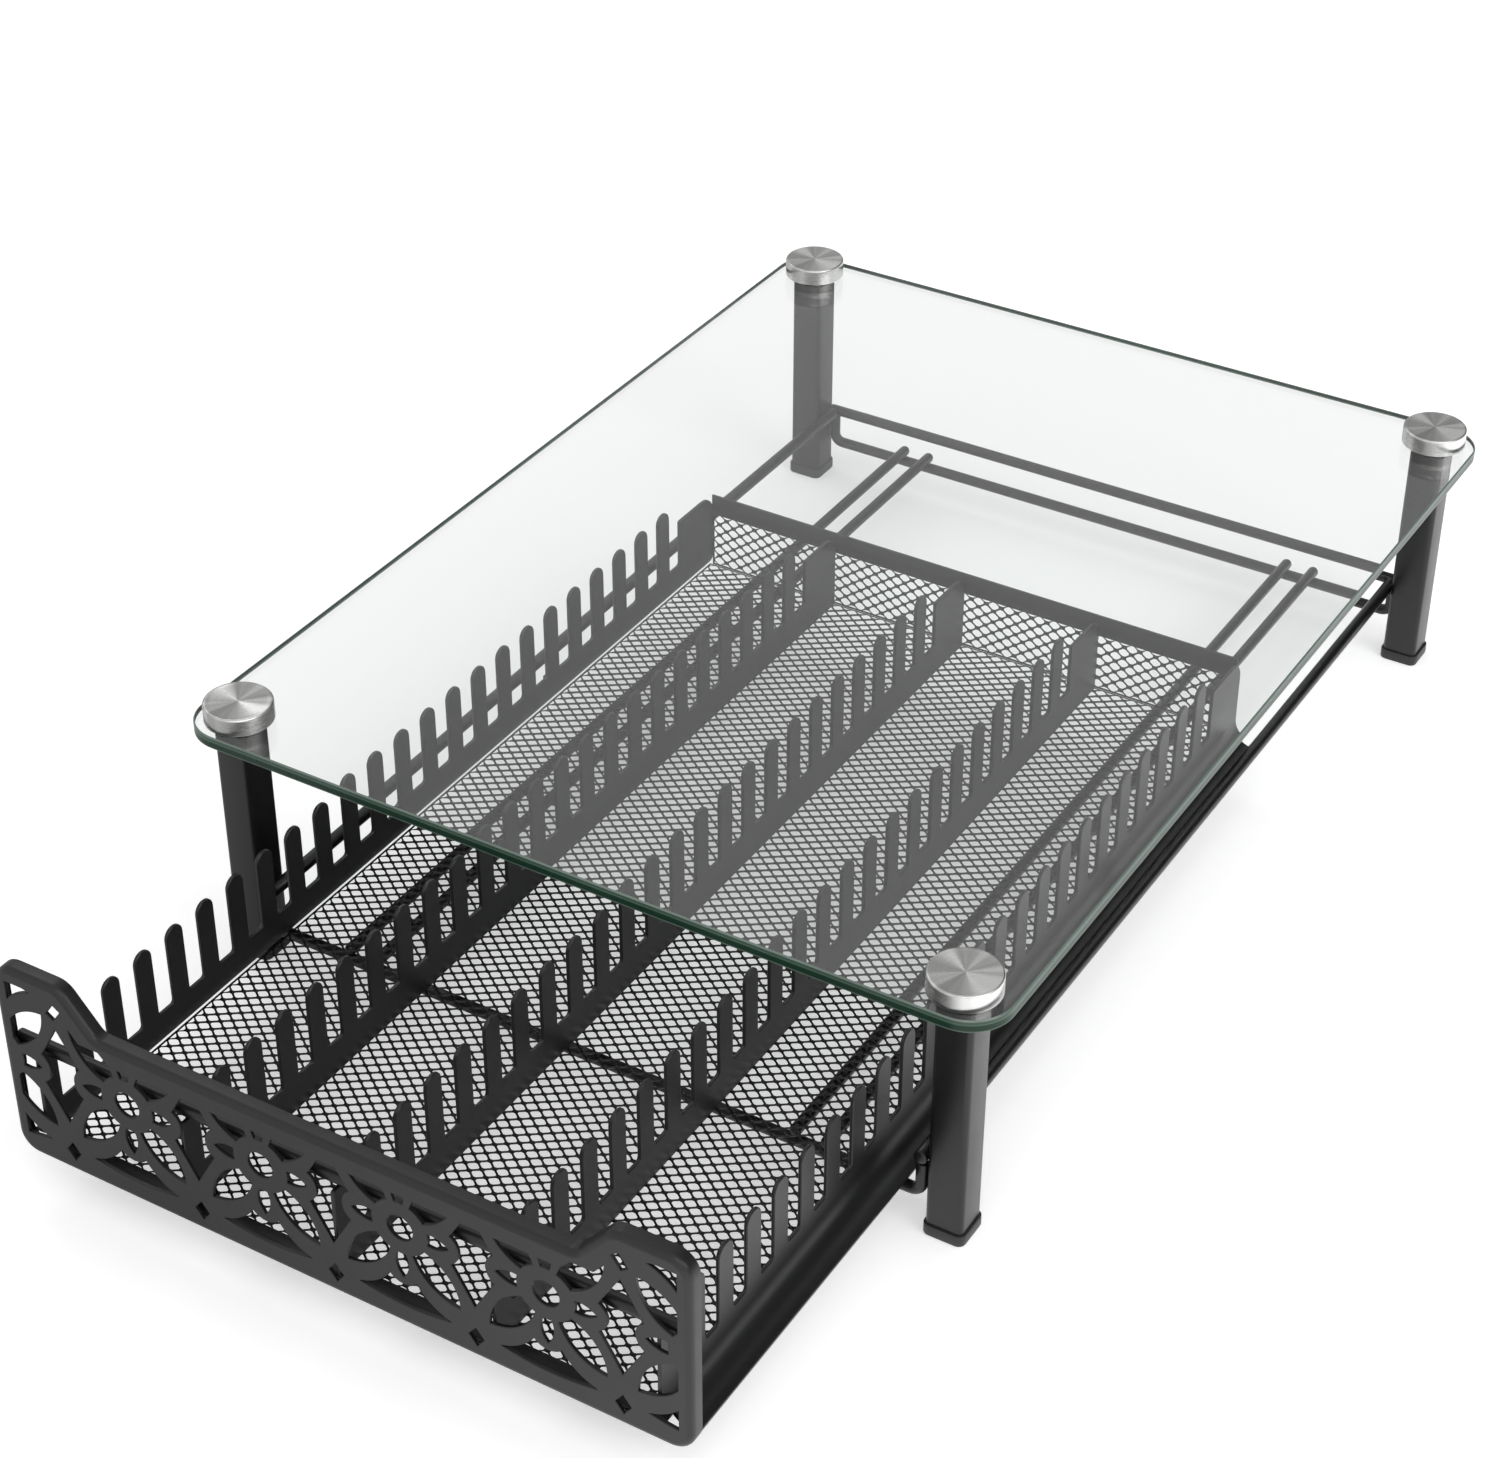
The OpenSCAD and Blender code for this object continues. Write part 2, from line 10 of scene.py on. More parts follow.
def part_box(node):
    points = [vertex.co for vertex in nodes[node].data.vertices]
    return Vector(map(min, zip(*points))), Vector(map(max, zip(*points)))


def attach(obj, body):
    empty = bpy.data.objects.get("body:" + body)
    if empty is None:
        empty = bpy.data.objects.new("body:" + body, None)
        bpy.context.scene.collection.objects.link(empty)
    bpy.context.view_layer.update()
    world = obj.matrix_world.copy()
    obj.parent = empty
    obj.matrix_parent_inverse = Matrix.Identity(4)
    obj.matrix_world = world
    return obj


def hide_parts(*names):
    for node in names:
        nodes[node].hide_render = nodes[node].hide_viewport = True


# A coffee pod drawer: a glass-topped stand on four legs, and the drawer of comb walls that slides under it.
mm = 0.001  # every shape below is worked out in millimetres

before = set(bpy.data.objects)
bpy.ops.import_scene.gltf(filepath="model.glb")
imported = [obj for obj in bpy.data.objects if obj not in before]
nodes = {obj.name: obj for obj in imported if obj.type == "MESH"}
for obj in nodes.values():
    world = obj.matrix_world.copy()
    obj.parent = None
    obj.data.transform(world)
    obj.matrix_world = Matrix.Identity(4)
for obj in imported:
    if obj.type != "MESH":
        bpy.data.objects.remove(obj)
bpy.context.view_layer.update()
print("frame loaded:", len(nodes), "nodes")


def boxOf(node):  # lowest and highest corner of a node, in millimetres
    low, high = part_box(node)
    return np.array(low) / mm, np.array(high) / mm


glassLow, glassHigh = boxOf("glass_top")
panelLow = boxOf("front_panel")[0]
floorLow, floorHigh = boxOf("drawer_floor")
standY = (glassLow[1] + glassHigh[1]) / 2
faceY = panelLow[1]


def newFinish(name):
    finish = bpy.data.materials.new(name)
    finish.use_nodes = True
    tree = finish.node_tree
    return finish, tree, tree.nodes["Principled BSDF"]


def feed(tree, socket, value):  # a socket takes another node's output or a plain value
    if isinstance(value, bpy.types.NodeSocket):
        tree.links.new(value, socket)
    else:
        socket.default_value = value


def feedAll(tree, node, values):
    for label, value in values.items():
        feed(tree, node.inputs[label], value)


def addNode(tree, kind, **values):  # each value goes to the node's setting of that name, or else to its input
    node = tree.nodes.new(kind)
    for key, value in values.items():
        if hasattr(node, key):
            setattr(node, key, value)
        else:
            feed(tree, node.inputs[key], value)
    return node


def reckon(tree, operation, *values, **settings):  # a Math node on its values in order
    node = addNode(tree, "ShaderNodeMath", operation=operation, **settings)
    for socket, value in zip(node.inputs, values):
        feed(tree, socket, value)
    return node.outputs[0]


def ranged(tree, value, source, target, **settings):  # a value carried from one range to another, ends held
    node = addNode(tree, "ShaderNodeMapRange", **settings)
    labels = ("Value", "From Min", "From Max", "To Min", "To Max")
    feedAll(tree, node, dict(zip(labels, (value, *source, *target))))
    return node.outputs["Result"]


def scaled(tree, color, factor):  # a colour times a number
    node = addNode(tree, "ShaderNodeVectorMath", operation="SCALE", Scale=factor)
    feed(tree, node.inputs[0], color)
    return node.outputs[0]


def makeSkinGroup():  # the fine skin of a coat or a moulding: slow tone, uneven gloss and small bumps
    group = bpy.data.node_groups.new("skin", "ShaderNodeTree")
    face = group.interface
    for label, kind, value in (("Vector", "NodeSocketVector", None), ("Color", "NodeSocketColor", None),
                               ("Roughness", "NodeSocketFloat", 0.4), ("Gloss Spread", "NodeSocketFloat", 0.1),
                               ("Tone Spread", "NodeSocketFloat", 0.3), ("Grain", "NodeSocketFloat", 900.0)):
        socket = face.new_socket(name=label, in_out="INPUT", socket_type=kind)
        if value is not None:
            socket.default_value = value
    for label, kind in (("Color", "NodeSocketColor"), ("Roughness", "NodeSocketFloat"),
                        ("Height", "NodeSocketFloat")):
        face.new_socket(name=label, in_out="OUTPUT", socket_type=kind)
    given = group.nodes.new("NodeGroupInput").outputs
    result = group.nodes.new("NodeGroupOutput")
    slow, patch, peel = [addNode(group, "ShaderNodeTexNoise", Vector=given["Vector"], **values).outputs["Fac"]
                         for values in ({"Scale": 16.0, "Detail": 3.0}, {"Scale": 70.0, "Detail": 4.0},
                                        {"Scale": given["Grain"], "Detail": 2.0, "Roughness": 0.55})]
    # tone = colour * (1 + spread * (2 * noise - 1)), and gloss = roughness + spread * (2 * noise - 1)
    toneShift = reckon(group, "MULTIPLY_ADD", slow, 2.0, -1.0)
    tone = scaled(group, given["Color"], reckon(group, "MULTIPLY_ADD", toneShift, given["Tone Spread"], 1.0))
    glossShift = reckon(group, "MULTIPLY_ADD", patch, 2.0, -1.0)
    gloss = reckon(group, "MULTIPLY_ADD", glossShift, given["Gloss Spread"], given["Roughness"])
    feedAll(group, result, {"Color": tone, "Roughness": gloss, "Height": peel})
    return group


skinGroup = makeSkinGroup()


def laidSkin(tree, look, color):  # the skin group's outputs, on the piece's own coordinates
    place = tree.nodes.new("ShaderNodeTexCoord")
    skin = tree.nodes.new("ShaderNodeGroup")
    skin.node_tree = skinGroup
    feedAll(tree, skin, {"Vector": place.outputs["Object"], "Color": color, "Roughness": look["roughness"],
                         "Gloss Spread": look["glossSpread"], "Tone Spread": look["toneSpread"],
                         "Grain": 1 / (look["grainSize"] * mm)})
    return skin.outputs


def skinned(name, look):  # a finish whose colour, gloss and bumps come from the skin group
    finish, tree, surface = newFinish(name)
    skin = laidSkin(tree, look, (*look["color"], 1))
    bump = addNode(tree, "ShaderNodeBump", Height=skin["Height"], Strength=look["bump"],
                   Distance=look["bumpHeight"] * mm)
    feedAll(tree, surface, {"Base Color": skin["Color"], "Roughness": skin["Roughness"],
                            "Normal": bump.outputs["Normal"], "Specular IOR Level": look["specular"],
                            "Metallic": look.get("metallic", 0.0)})
    return finish


frameCoatLook = {"color": (0.005, 0.005, 0.0052), "roughness": 0.34, "glossSpread": 0.06, "toneSpread": 0.25,
                 "grainSize": 0.9, "bump": 0.15, "bumpHeight": 0.02, "specular": 0.42}
sheetCoatLook = {"color": (0.006, 0.006, 0.0063), "roughness": 0.4, "glossSpread": 0.06, "toneSpread": 0.25,
                 "grainSize": 0.8, "bump": 0.15, "bumpHeight": 0.02, "specular": 0.45}
meshCoatLook = {"color": (0.006, 0.006, 0.0063), "roughness": 0.45, "glossSpread": 0.08, "toneSpread": 0.3,
                "grainSize": 0.6, "bump": 0.3, "bumpHeight": 0.03, "specular": 0.3}
footLook = {"color": (0.016, 0.016, 0.016), "roughness": 0.5, "glossSpread": 0.06, "toneSpread": 0.2,
            "grainSize": 0.35, "bump": 0.4, "bumpHeight": 0.03, "specular": 0.45}
rubberLook = {"color": (0.2, 0.2, 0.2), "roughness": 0.75, "glossSpread": 0.08, "toneSpread": 0.2,
              "grainSize": 0.3, "bump": 0.3, "bumpHeight": 0.03, "specular": 0.3}
plugLook = {"color": (0.4, 0.4, 0.39), "roughness": 0.4, "glossSpread": 0.1, "toneSpread": 0.2,
            "grainSize": 0.5, "bump": 0.3, "bumpHeight": 0.03, "specular": 0.5, "metallic": 1.0}
frameCoat = skinned("frameCoat", frameCoatLook)
sheetCoat = skinned("sheetCoat", sheetCoatLook)
meshCoat = skinned("meshCoat", meshCoatLook)
footPlastic = skinned("footPlastic", footLook)
washerRubber = skinned("washerRubber", rubberLook)
plugSteel = skinned("plugSteel", plugLook)

# the sector noise and its tone paint highlight fans into the steel's colour: lighter and darker sectors round each
# cap
steelLook = {"color": (0.62, 0.62, 0.61), "roughness": 0.27, "streak": 0.1, "anisotropic": 0.9,
             "rings": 260.0, "ringTone": (0.86, 1.1), "ringRange": (0.25, 0.75),
             "paintedFans": 1.5, "paintedFanTone": (0.7, 1.3), "paintedFanRange": (0.35, 0.65),
             "bump": 0.12, "bumpHeight": 0.02}


def makeTurnedSteel(look):
    # Turned steel, read from the cap's own map of turn and run. Rings: a noise on the run, and a little on the
    # turn. Painted fans: a noise on the turn that makes some sectors of the colour lighter and others darker, a
    # painted highlight in place of the fans that light draws on turned steel. Both read its cosine and sine, so
    # that they close on themselves.
    finish, tree, surface = newFinish("turnedSteel")
    chart = addNode(tree, "ShaderNodeUVMap", uv_map="turning")
    parts = addNode(tree, "ShaderNodeSeparateXYZ", Vector=chart.outputs["UV"]).outputs
    turn = reckon(tree, "MULTIPLY", parts["X"], 2 * math.pi)
    wave = {"X": reckon(tree, "COSINE", turn), "Y": reckon(tree, "SINE", turn)}
    spread = reckon(tree, "MULTIPLY", parts["Y"], look["rings"])
    ringSpot = addNode(tree, "ShaderNodeCombineXYZ", Z=spread, **wave).outputs[0]
    paintedFanSpot = addNode(tree, "ShaderNodeCombineXYZ", **wave).outputs[0]
    rings = addNode(tree, "ShaderNodeTexNoise", Vector=ringSpot, Scale=1.0, Detail=4.0, Roughness=0.7)
    paintedFans = addNode(tree, "ShaderNodeTexNoise", Vector=paintedFanSpot, Scale=look["paintedFans"], Detail=1.0)
    rings, paintedFans = rings.outputs["Fac"], paintedFans.outputs["Fac"]
    ringTone = ranged(tree, rings, look["ringRange"], look["ringTone"], interpolation_type="SMOOTHSTEP")
    paintedFanTone = ranged(tree, paintedFans, look["paintedFanRange"], look["paintedFanTone"], interpolation_type="SMOOTHSTEP")
    bump = addNode(tree, "ShaderNodeBump", Height=rings, Strength=look["bump"], Distance=look["bumpHeight"] * mm)
    grain = addNode(tree, "ShaderNodeTangent", direction_type="UV_MAP", uv_map="turning")
    rough, streak = look["roughness"], look["streak"]
    # the sector tone is a painted highlight: it lightens and darkens sectors of the colour round the cap
    tone = scaled(tree, look["color"], reckon(tree, "MULTIPLY", ringTone, paintedFanTone))
    feedAll(tree, surface, {"Base Color": tone,
                            "Roughness": ranged(tree, rings, (0, 1), (rough - streak, rough + streak)),
                            "Normal": bump.outputs["Normal"], "Tangent": grain.outputs["Tangent"],
                            "Metallic": 1.0, "Anisotropic": look["anisotropic"]})
    return finish


turnedSteel = makeTurnedSteel(steelLook)

glassLook = {"clear": (0.91, 0.92, 0.915, 1), "ior": 1.5, "through": (0.95, 0.97, 0.96, 1)}
edgeLook = {"roughness": 0.28, "glossSpread": 0.04, "toneSpread": 0.5, "grainSize": 2.0, "specular": 0.22,
            # height through the slab, and the colour of the edge there: dark green, with paler lines near the
            # bottom and about two thirds up that are painted highlights
            "bands": ((0.0, (0.3, 0.36, 0.31)), (0.13, (0.09, 0.14, 0.11)), (0.22, (0.006, 0.028, 0.016)),
                      (0.58, (0.009, 0.036, 0.021)), (0.66, (0.1, 0.16, 0.125)), (0.73, (0.045, 0.085, 0.062)),
                      (1.0, (0.07, 0.11, 0.085)))}
arrisLook = {"color": (0.13, 0.17, 0.15), "roughness": 0.3, "glossSpread": 0.03, "toneSpread": 0.45,
             "grainSize": 2.0, "bump": 0.1, "bumpHeight": 0.02, "specular": 0.5}


def makeClearGlass(look):  # clear glass; lamps and soft light pass straight through it
    finish, tree, surface = newFinish("clearGlass")
    feedAll(tree, surface, {"Base Color": look["clear"], "Roughness": 0.0, "Transmission Weight": 1.0,
                            "IOR": look["ior"]})
    rays = addNode(tree, "ShaderNodeLightPath").outputs
    soft = reckon(tree, "MAXIMUM", rays["Is Shadow Ray"], rays["Is Diffuse Ray"])
    through = addNode(tree, "ShaderNodeBsdfTransparent", Color=look["through"])
    mix = tree.nodes.new("ShaderNodeMixShader")
    for socket, value in zip(mix.inputs, (soft, surface.outputs[0], through.outputs[0])):
        feed(tree, socket, value)
    feed(tree, tree.nodes["Material Output"].inputs["Surface"], mix.outputs[0])
    return finish


def makeGlassEdge(look):  # the ground edge: dark green with paler painted highlight lines, by height through the slab
    finish, tree, surface = newFinish("greenEdgePaintedLines")
    place = tree.nodes.new("ShaderNodeTexCoord")
    parts = addNode(tree, "ShaderNodeSeparateXYZ", Vector=place.outputs["Object"]).outputs
    height = ranged(tree, parts["Z"], (glassLow[2] * mm, glassHigh[2] * mm), (0, 1))
    # the ramp's paler stops paint highlight lines into the edge's dark green colour
    bands = addNode(tree, "ShaderNodeValToRGB", Fac=height)
    ramp = bands.color_ramp.elements
    while len(ramp) < len(look["bands"]):
        ramp.new(0.5)
    for stop, (at, color) in zip(ramp, look["bands"]):
        stop.position = at
        stop.color = (*color, 1)
    skin = laidSkin(tree, look, bands.outputs["Color"])
    feedAll(tree, surface, {"Base Color": skin["Color"], "Roughness": skin["Roughness"],
                            "Specular IOR Level": look["specular"]})
    return finish


clearGlass = makeClearGlass(glassLook)
greenEdgePaintedLines = makeGlassEdge(edgeLook)
paleArris = skinned("paleArris", arrisLook)
print("finishes made:", len(bpy.data.materials))


nearness = {"doubles": 0.002, "netDoubles": 0.01, "netSlivers": 0.005}  # what is nearer than this merges


def makePiece(name, points, faces, finishes, body, slot, stands=(), finishOf=None, sharp=38, net=False):
    # Points in millimetres. Doubles merge, faces turn outwards, and turns over the sharp angle stay crisp. A net's
    # faces already point outwards; there slivers go instead.
    mesh = bpy.data.meshes.new(name)
    mesh.from_pydata((np.asarray(points) * mm).tolist(), [], [list(map(int, face)) for face in faces])
    for finish in finishes:
        mesh.materials.append(finish)
    if finishOf is not None:
        mesh.polygons.foreach_set("material_index", np.asarray(finishOf, dtype=np.int32))
    shell = bmesh.new()
    shell.from_mesh(mesh)
    bmesh.ops.remove_doubles(shell, verts=shell.verts, dist=nearness["netDoubles" if net else "doubles"] * mm)
    if net:
        bmesh.ops.dissolve_degenerate(shell, edges=shell.edges, dist=nearness["netSlivers"] * mm)
    else:
        bmesh.ops.recalc_face_normals(shell, faces=shell.faces)
    shell.to_mesh(mesh)
    shell.free()
    mesh.polygons.foreach_set("use_smooth", np.ones(len(mesh.polygons), dtype=bool))
    mesh.set_sharp_from_angle(angle=math.radians(sharp))
    mesh.update()
    piece = bpy.data.objects.new(name, mesh)
    bpy.context.scene.collection.objects.link(piece)
    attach(piece, body)
    if stands:
        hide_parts(*stands)
    return piece


def joined(*parts):  # several pairs of points and faces put into one
    faces, count = [], 0
    for points, own in parts:
        faces += [[corner + count for corner in face] for face in own]
        count += len(points)
    return np.concatenate([points for points, own in parts]), faces


def gridFaces(rows, columns, closeRows=False, closeColumns=True):
    # quads between neighbouring points of a grid; a closed direction also joins its last to its first
    i, j = np.meshgrid(np.arange(rows - (not closeRows)), np.arange(columns - (not closeColumns)), indexing="ij")
    k, l = (i + 1) % rows, (j + 1) % columns
    return np.stack([i * columns + j, i * columns + l, k * columns + l, k * columns + j], -1).reshape(-1, 4)


def arc(centre, radius, start, end, steps):  # points round a centre, from one angle to another in degrees
    angle = np.radians(np.linspace(start, end, steps + 1))
    return np.stack([centre[0] + radius * np.cos(angle), centre[1] + radius * np.sin(angle)], 1)


def leftOf(edge):  # unit vector to the left of each edge
    return np.stack([-edge[:, 1], edge[:, 0]], 1) / np.linalg.norm(edge, axis=1)[:, None]


def movedIn(loop, amount, least=0.35):
    # Each point moved into the material on its left, square to both its edges: by amount times the sum of their
    # normals over 1 + their cosine, which is held at a least value where the loop turns back sharply.
    before = leftOf(loop - np.roll(loop, 1, 0))
    after = leftOf(np.roll(loop, -1, 0) - loop)
    return loop + np.asarray(amount)[..., None] * (before + after) / np.maximum(
        1 + (before * after).sum(1), least)[:, None]


def filled(flat, edges, batch=400):
    # Delaunay triangles on the loops; one is kept where a line from its middle to the right crosses an odd number
    # of edges. They are tried in batches, to save memory.
    cut = delaunay_2d_cdt([Vector(p) for p in flat], edges.tolist(), [], 0, 1e-6)
    lost = [tuple(spot) for spot, origin in zip(cut[0], cut[3]) if not origin]
    if lost:
        print("edges cross at", lost[:5], len(lost))
    source = np.array([origin[0] if origin else 0 for origin in cut[3]])
    triangles = source[np.array([face[:3] for face in cut[2]])]
    start, end = flat[edges[:, 0]], flat[edges[:, 1]]
    slant = (end[:, 0] - start[:, 0]) / np.where(end[:, 1] == start[:, 1], 1, end[:, 1] - start[:, 1])
    kept = []
    for part in np.array_split(triangles, max(1, len(triangles) // batch)):
        x, y = flat[part].mean(1).T
        spans = (start[None, :, 1] > y[:, None]) != (end[None, :, 1] > y[:, None])
        ahead = x[:, None] < start[None, :, 0] + slant * (y[:, None] - start[None, :, 1])
        kept.append((spans & ahead).sum(1) % 2 == 1)
    return triangles[np.concatenate(kept)]


def cutSheet(loops, thick, softness):
    # A sheet cut along loops, the outer one anticlockwise and the holes clockwise. Its edge is a chamfer, a wall
    # and a chamfer; softness is the chamfer's size, one for each loop or each point. Also says which face is
    # flat (0), chamfer (1) or wall (2).
    soft = [np.broadcast_to(np.asarray(s, float), (len(loop),)) for loop, s in zip(loops, softness)]
    flat = np.concatenate([movedIn(loop, s) for loop, s in zip(loops, soft)])
    wall = np.concatenate(loops)
    chamfer = np.concatenate(soft)
    count = len(wall)
    points = np.concatenate([np.c_[flat, np.zeros(count)], np.c_[wall, chamfer],
                             np.c_[wall, thick - chamfer], np.c_[flat, np.full(count, thick)]])
    starts = np.cumsum([0] + [len(loop) for loop in loops])[:-1]
    edges = np.concatenate([s + np.stack([np.arange(len(loop)), (np.arange(len(loop)) + 1) % len(loop)], 1)
                            for s, loop in zip(starts, loops)])
    triangles = filled(flat, edges)
    bands = [np.c_[edges + k * count, edges[:, ::-1] + (k + 1) * count] for k in range(3)]
    faces = list(triangles[:, ::-1]) + list(triangles + 3 * count) + [f for band in bands for f in band]
    kinds = [0] * (2 * len(triangles)) + [1] * count + [2] * count + [1] * count
    return points, faces, kinds


def rod(path, radius, sides, across, dome, domeSteps=5):
    # A round rod along a path in the plane square to across. In each end's dome, a ring at angle a has the radius
    # times sin(a) and stands dome*(1 - cos(a)) in from the end, where a pole closes it.
    ahead = np.gradient(path, axis=0)
    ahead /= np.linalg.norm(ahead, axis=1)[:, None]
    turn = np.radians(np.linspace(0, 90, domeSteps + 1))[1:]
    run, size = dome * (1 - np.cos(turn))[:, None], radius * np.sin(turn)
    rings = np.concatenate([path[0] + ahead[0] * run, path[1:-1], path[-1] - ahead[-1] * run[::-1]])
    sizes = np.concatenate([size, np.full(len(path) - 2, radius), size[::-1]])
    heads = np.concatenate([[ahead[0]] * domeSteps, ahead[1:-1], [ahead[-1]] * domeSteps])
    across = np.asarray(across, float)
    out = np.cross(heads, across)
    angle = np.linspace(0, 2 * math.pi, sides, endpoint=False)[None, :, None]
    points = (rings[:, None] + sizes[:, None, None] * (
        np.cos(angle) * out[:, None] + np.sin(angle) * across)).reshape(-1, 3)
    count, ring = len(points), np.arange(sides)
    after = (ring + 1) % sides
    faces = gridFaces(len(rings), sides).tolist()
    faces += np.stack([np.full(sides, count), after, ring], 1).tolist()
    faces += np.stack([np.full(sides, count + 1), count - sides + ring, count - sides + after], 1).tolist()
    return np.concatenate([points, [path[0], path[-1]]]), faces


def lathe(profile, centre, steps):
    # a profile of radius and height turned about an upright axis; its ends stand on the axis
    angle = np.linspace(0, 2 * math.pi, steps, endpoint=False)
    radius, height = np.asarray(profile, float)[:, None].transpose(2, 0, 1)
    points = np.stack([centre[0] + radius * np.cos(angle), centre[1] + radius * np.sin(angle),
                       np.broadcast_to(height, (len(profile), steps))], -1)
    return points.reshape(-1, 3), gridFaces(len(profile), steps).tolist()


def roundCorners(halfX, halfY, radius, steps):  # a rectangle's round corners, about centres halfX and halfY out
    return np.concatenate([arc((sx * halfX, sy * halfY), radius, a, a + 90, steps)
                           for sx, sy, a in ((1, 1, 0), (-1, 1, 90), (-1, -1, 180), (1, -1, 270))])


def lofted(width, radius, levels, centre, close, steps=5):
    # Squares with round corners stacked up, each brought in by an even inset at its height; closed back on itself,
    # or capped flat at both ends. The corner's radius shrinks with the inset, down to a least one.
    count, least, rings = 4 * (steps + 1), 0.05, []
    for inset, z in levels:
        turn = max(radius - inset, least)
        half = width / 2 - (radius if radius > inset else inset + turn)
        rings.append(np.c_[roundCorners(half, half, turn, steps) + centre, np.full(count, z)])
    faces = gridFaces(len(levels), count, closeRows=close).tolist()
    if not close:
        last = count * (len(levels) - 1)
        faces += [list(range(count))[::-1], list(range(last, last + count))]
    return np.concatenate(rings), faces


legShape = {"width": 14.0, "corner": 2.0, "wall": 1.2, "edge": 0.2}
footShape = {"height": 4.5, "lip": 0.8, "round": 0.6, "hollow": 0.5, "hollowInset": 5.2, "soleInset": 4.8,
             "spigotInset": 2.2, "spigotHeight": 12.0}


def legLevels(shape, low, high):  # up the outside of the tube and down its inside, as inset and height
    e, wall = shape["edge"], shape["wall"]
    return [(e, low), (0, low + e), (0, high - e), (e, high), (wall, high), (wall, low)]


def footLevels(shape):  # the hollow below, the sole, the plate's round edges, and the spigot
    h, r, spigot = shape["height"], shape["round"], shape["spigotInset"]
    return [(shape["hollowInset"], shape["hollow"]), (shape["soleInset"], 0), (r, 0), (0.3 * r, 0.3 * r), (0, r),
            (0, h - 0.5 * r), (0.15 * r, h - 0.15 * r), (0.5 * r, h), (spigot, h),
            (spigot, h + shape["spigotHeight"])]


for end in ("front", "rear"):
    for side in ("left", "right"):
        low, high = boxOf("leg_%s_%s" % (end, side))
        centre = (low[:2] + high[:2]) / 2
        width, corner, lip = legShape["width"], legShape["corner"], footShape["lip"]
        tube = lofted(width, corner, legLevels(legShape, low[2], high[2]), centre, True)
        makePiece("leg_tube_%s_%s" % (end, side), *tube, [frameCoat], "stand", "frame_coat",
                  ["leg_%s_%s" % (end, side)])
        foot = lofted(width + 2 * lip, corner + lip, footLevels(footShape), centre, False)
        makePiece("foot_moulding_%s_%s" % (end, side), *foot, [footPlastic], "stand", "foot_plastic",
                  ["foot_%s_%s" % (end, side)])
print("legs and feet made")

rodShape = {"sides": 20, "stretches": 8, "dome": 0.5, "roundEnd": 2.25}


def straightRod(name, node, axis, dome, body="stand", slot="frame_coat", finish=None):
    low, high = boxOf(node)
    start, stop = (low + high) / 2, (low + high) / 2
    start[axis], stop[axis] = low[axis], high[axis]
    path = start + (stop - start) * np.linspace(0, 1, rodShape["stretches"] + 1)[:, None]
    points, faces = rod(path, (high[2] - low[2]) / 2, rodShape["sides"], (0, 0, 1), dome)
    makePiece(name, points, faces, [finish or frameCoat], body, slot, [node])


for side in ("left", "right"):
    straightRod("rail_" + side, "side_rail_" + side, 1, rodShape["dome"])
    for place in ("outer", "inner"):
        straightRod("guide_%s_%s" % (side, place), "guide_rod_%s_%s" % (side, place), 1, rodShape["roundEnd"])
straightRod("stop_bar", "rear_stop_bar", 0, rodShape["dome"])
straightRod("panel_rod", "front_rod", 0, rodShape["dome"], "drawer", "sheet_coat", sheetCoat)

cradleShape = {"bend": 4.0, "bendSteps": 8}
for end in ("front", "rear"):
    low, high = boxOf(end + "_cradle_wire")
    radius = (high[1] - low[1]) / 2
    left, right, base = low[0] + radius, high[0] - radius, low[2] + radius
    bend, steps = cradleShape["bend"], cradleShape["bendSteps"]
    upright = np.array([[left, high[2]], [left, (base + bend + high[2]) / 2]])
    flat = np.concatenate([upright, arc((left + bend, base + bend), bend, 180, 270, steps),
                           arc((right - bend, base + bend), bend, 270, 360, steps),
                           (upright[::-1] * [0, 1]) + [right, 0]])
    path = np.stack([flat[:, 0], np.full(len(flat), (low[1] + high[1]) / 2), flat[:, 1]], 1)
    points, faces = rod(path, radius, rodShape["sides"], (0, 1, 0), rodShape["dome"])
    makePiece("cradle_%s" % end, points, faces, [frameCoat], "stand", "frame_coat", [end + "_cradle_wire"])
print("wires made")

slabShape = {"corner": 16.0, "cornerSteps": 16, "arris": 0.5, "holeRadius": 4.0, "holeSteps": 32, "holeArris": 0.3}
capShape = {"radius": 12.5, "height": 6.0, "edge": 0.8, "edgeSteps": 4, "underEdge": 0.2, "steps": 96,
            "dish": 0.06, "dishInset": 0.6, "dishRings": 9, "recess": 11.4, "clear": 0.05,
            "stud": 3.0, "studRound": (2.6, 0.5)}
capCentres = {}
for end in ("front", "rear"):
    for side in ("left", "right"):
        low, high = boxOf("cap_%s_%s" % (end, side))
        capCentres[end + "_" + side] = (low[:2] + high[:2]) / 2

halfWidth, halfDepth = (glassHigh - glassLow)[:2] / 2 - slabShape["corner"]
loops = [roundCorners(halfWidth, halfDepth, slabShape["corner"], slabShape["cornerSteps"])]
loops += [arc(spot - [0, standY], slabShape["holeRadius"], 360, 0, slabShape["holeSteps"])[:-1]
          for spot in capCentres.values()]
softness = [slabShape["arris"]] + [slabShape["holeArris"]] * len(capCentres)
points, faces, kinds = cutSheet(loops, glassHigh[2] - glassLow[2], softness)
points = points + [0, standY, glassLow[2]]
makePiece("glass_slab", points, faces, [clearGlass, paleArris, greenEdgePaintedLines], "stand", "glass", ["glass_top"],
          kinds, sharp=30)


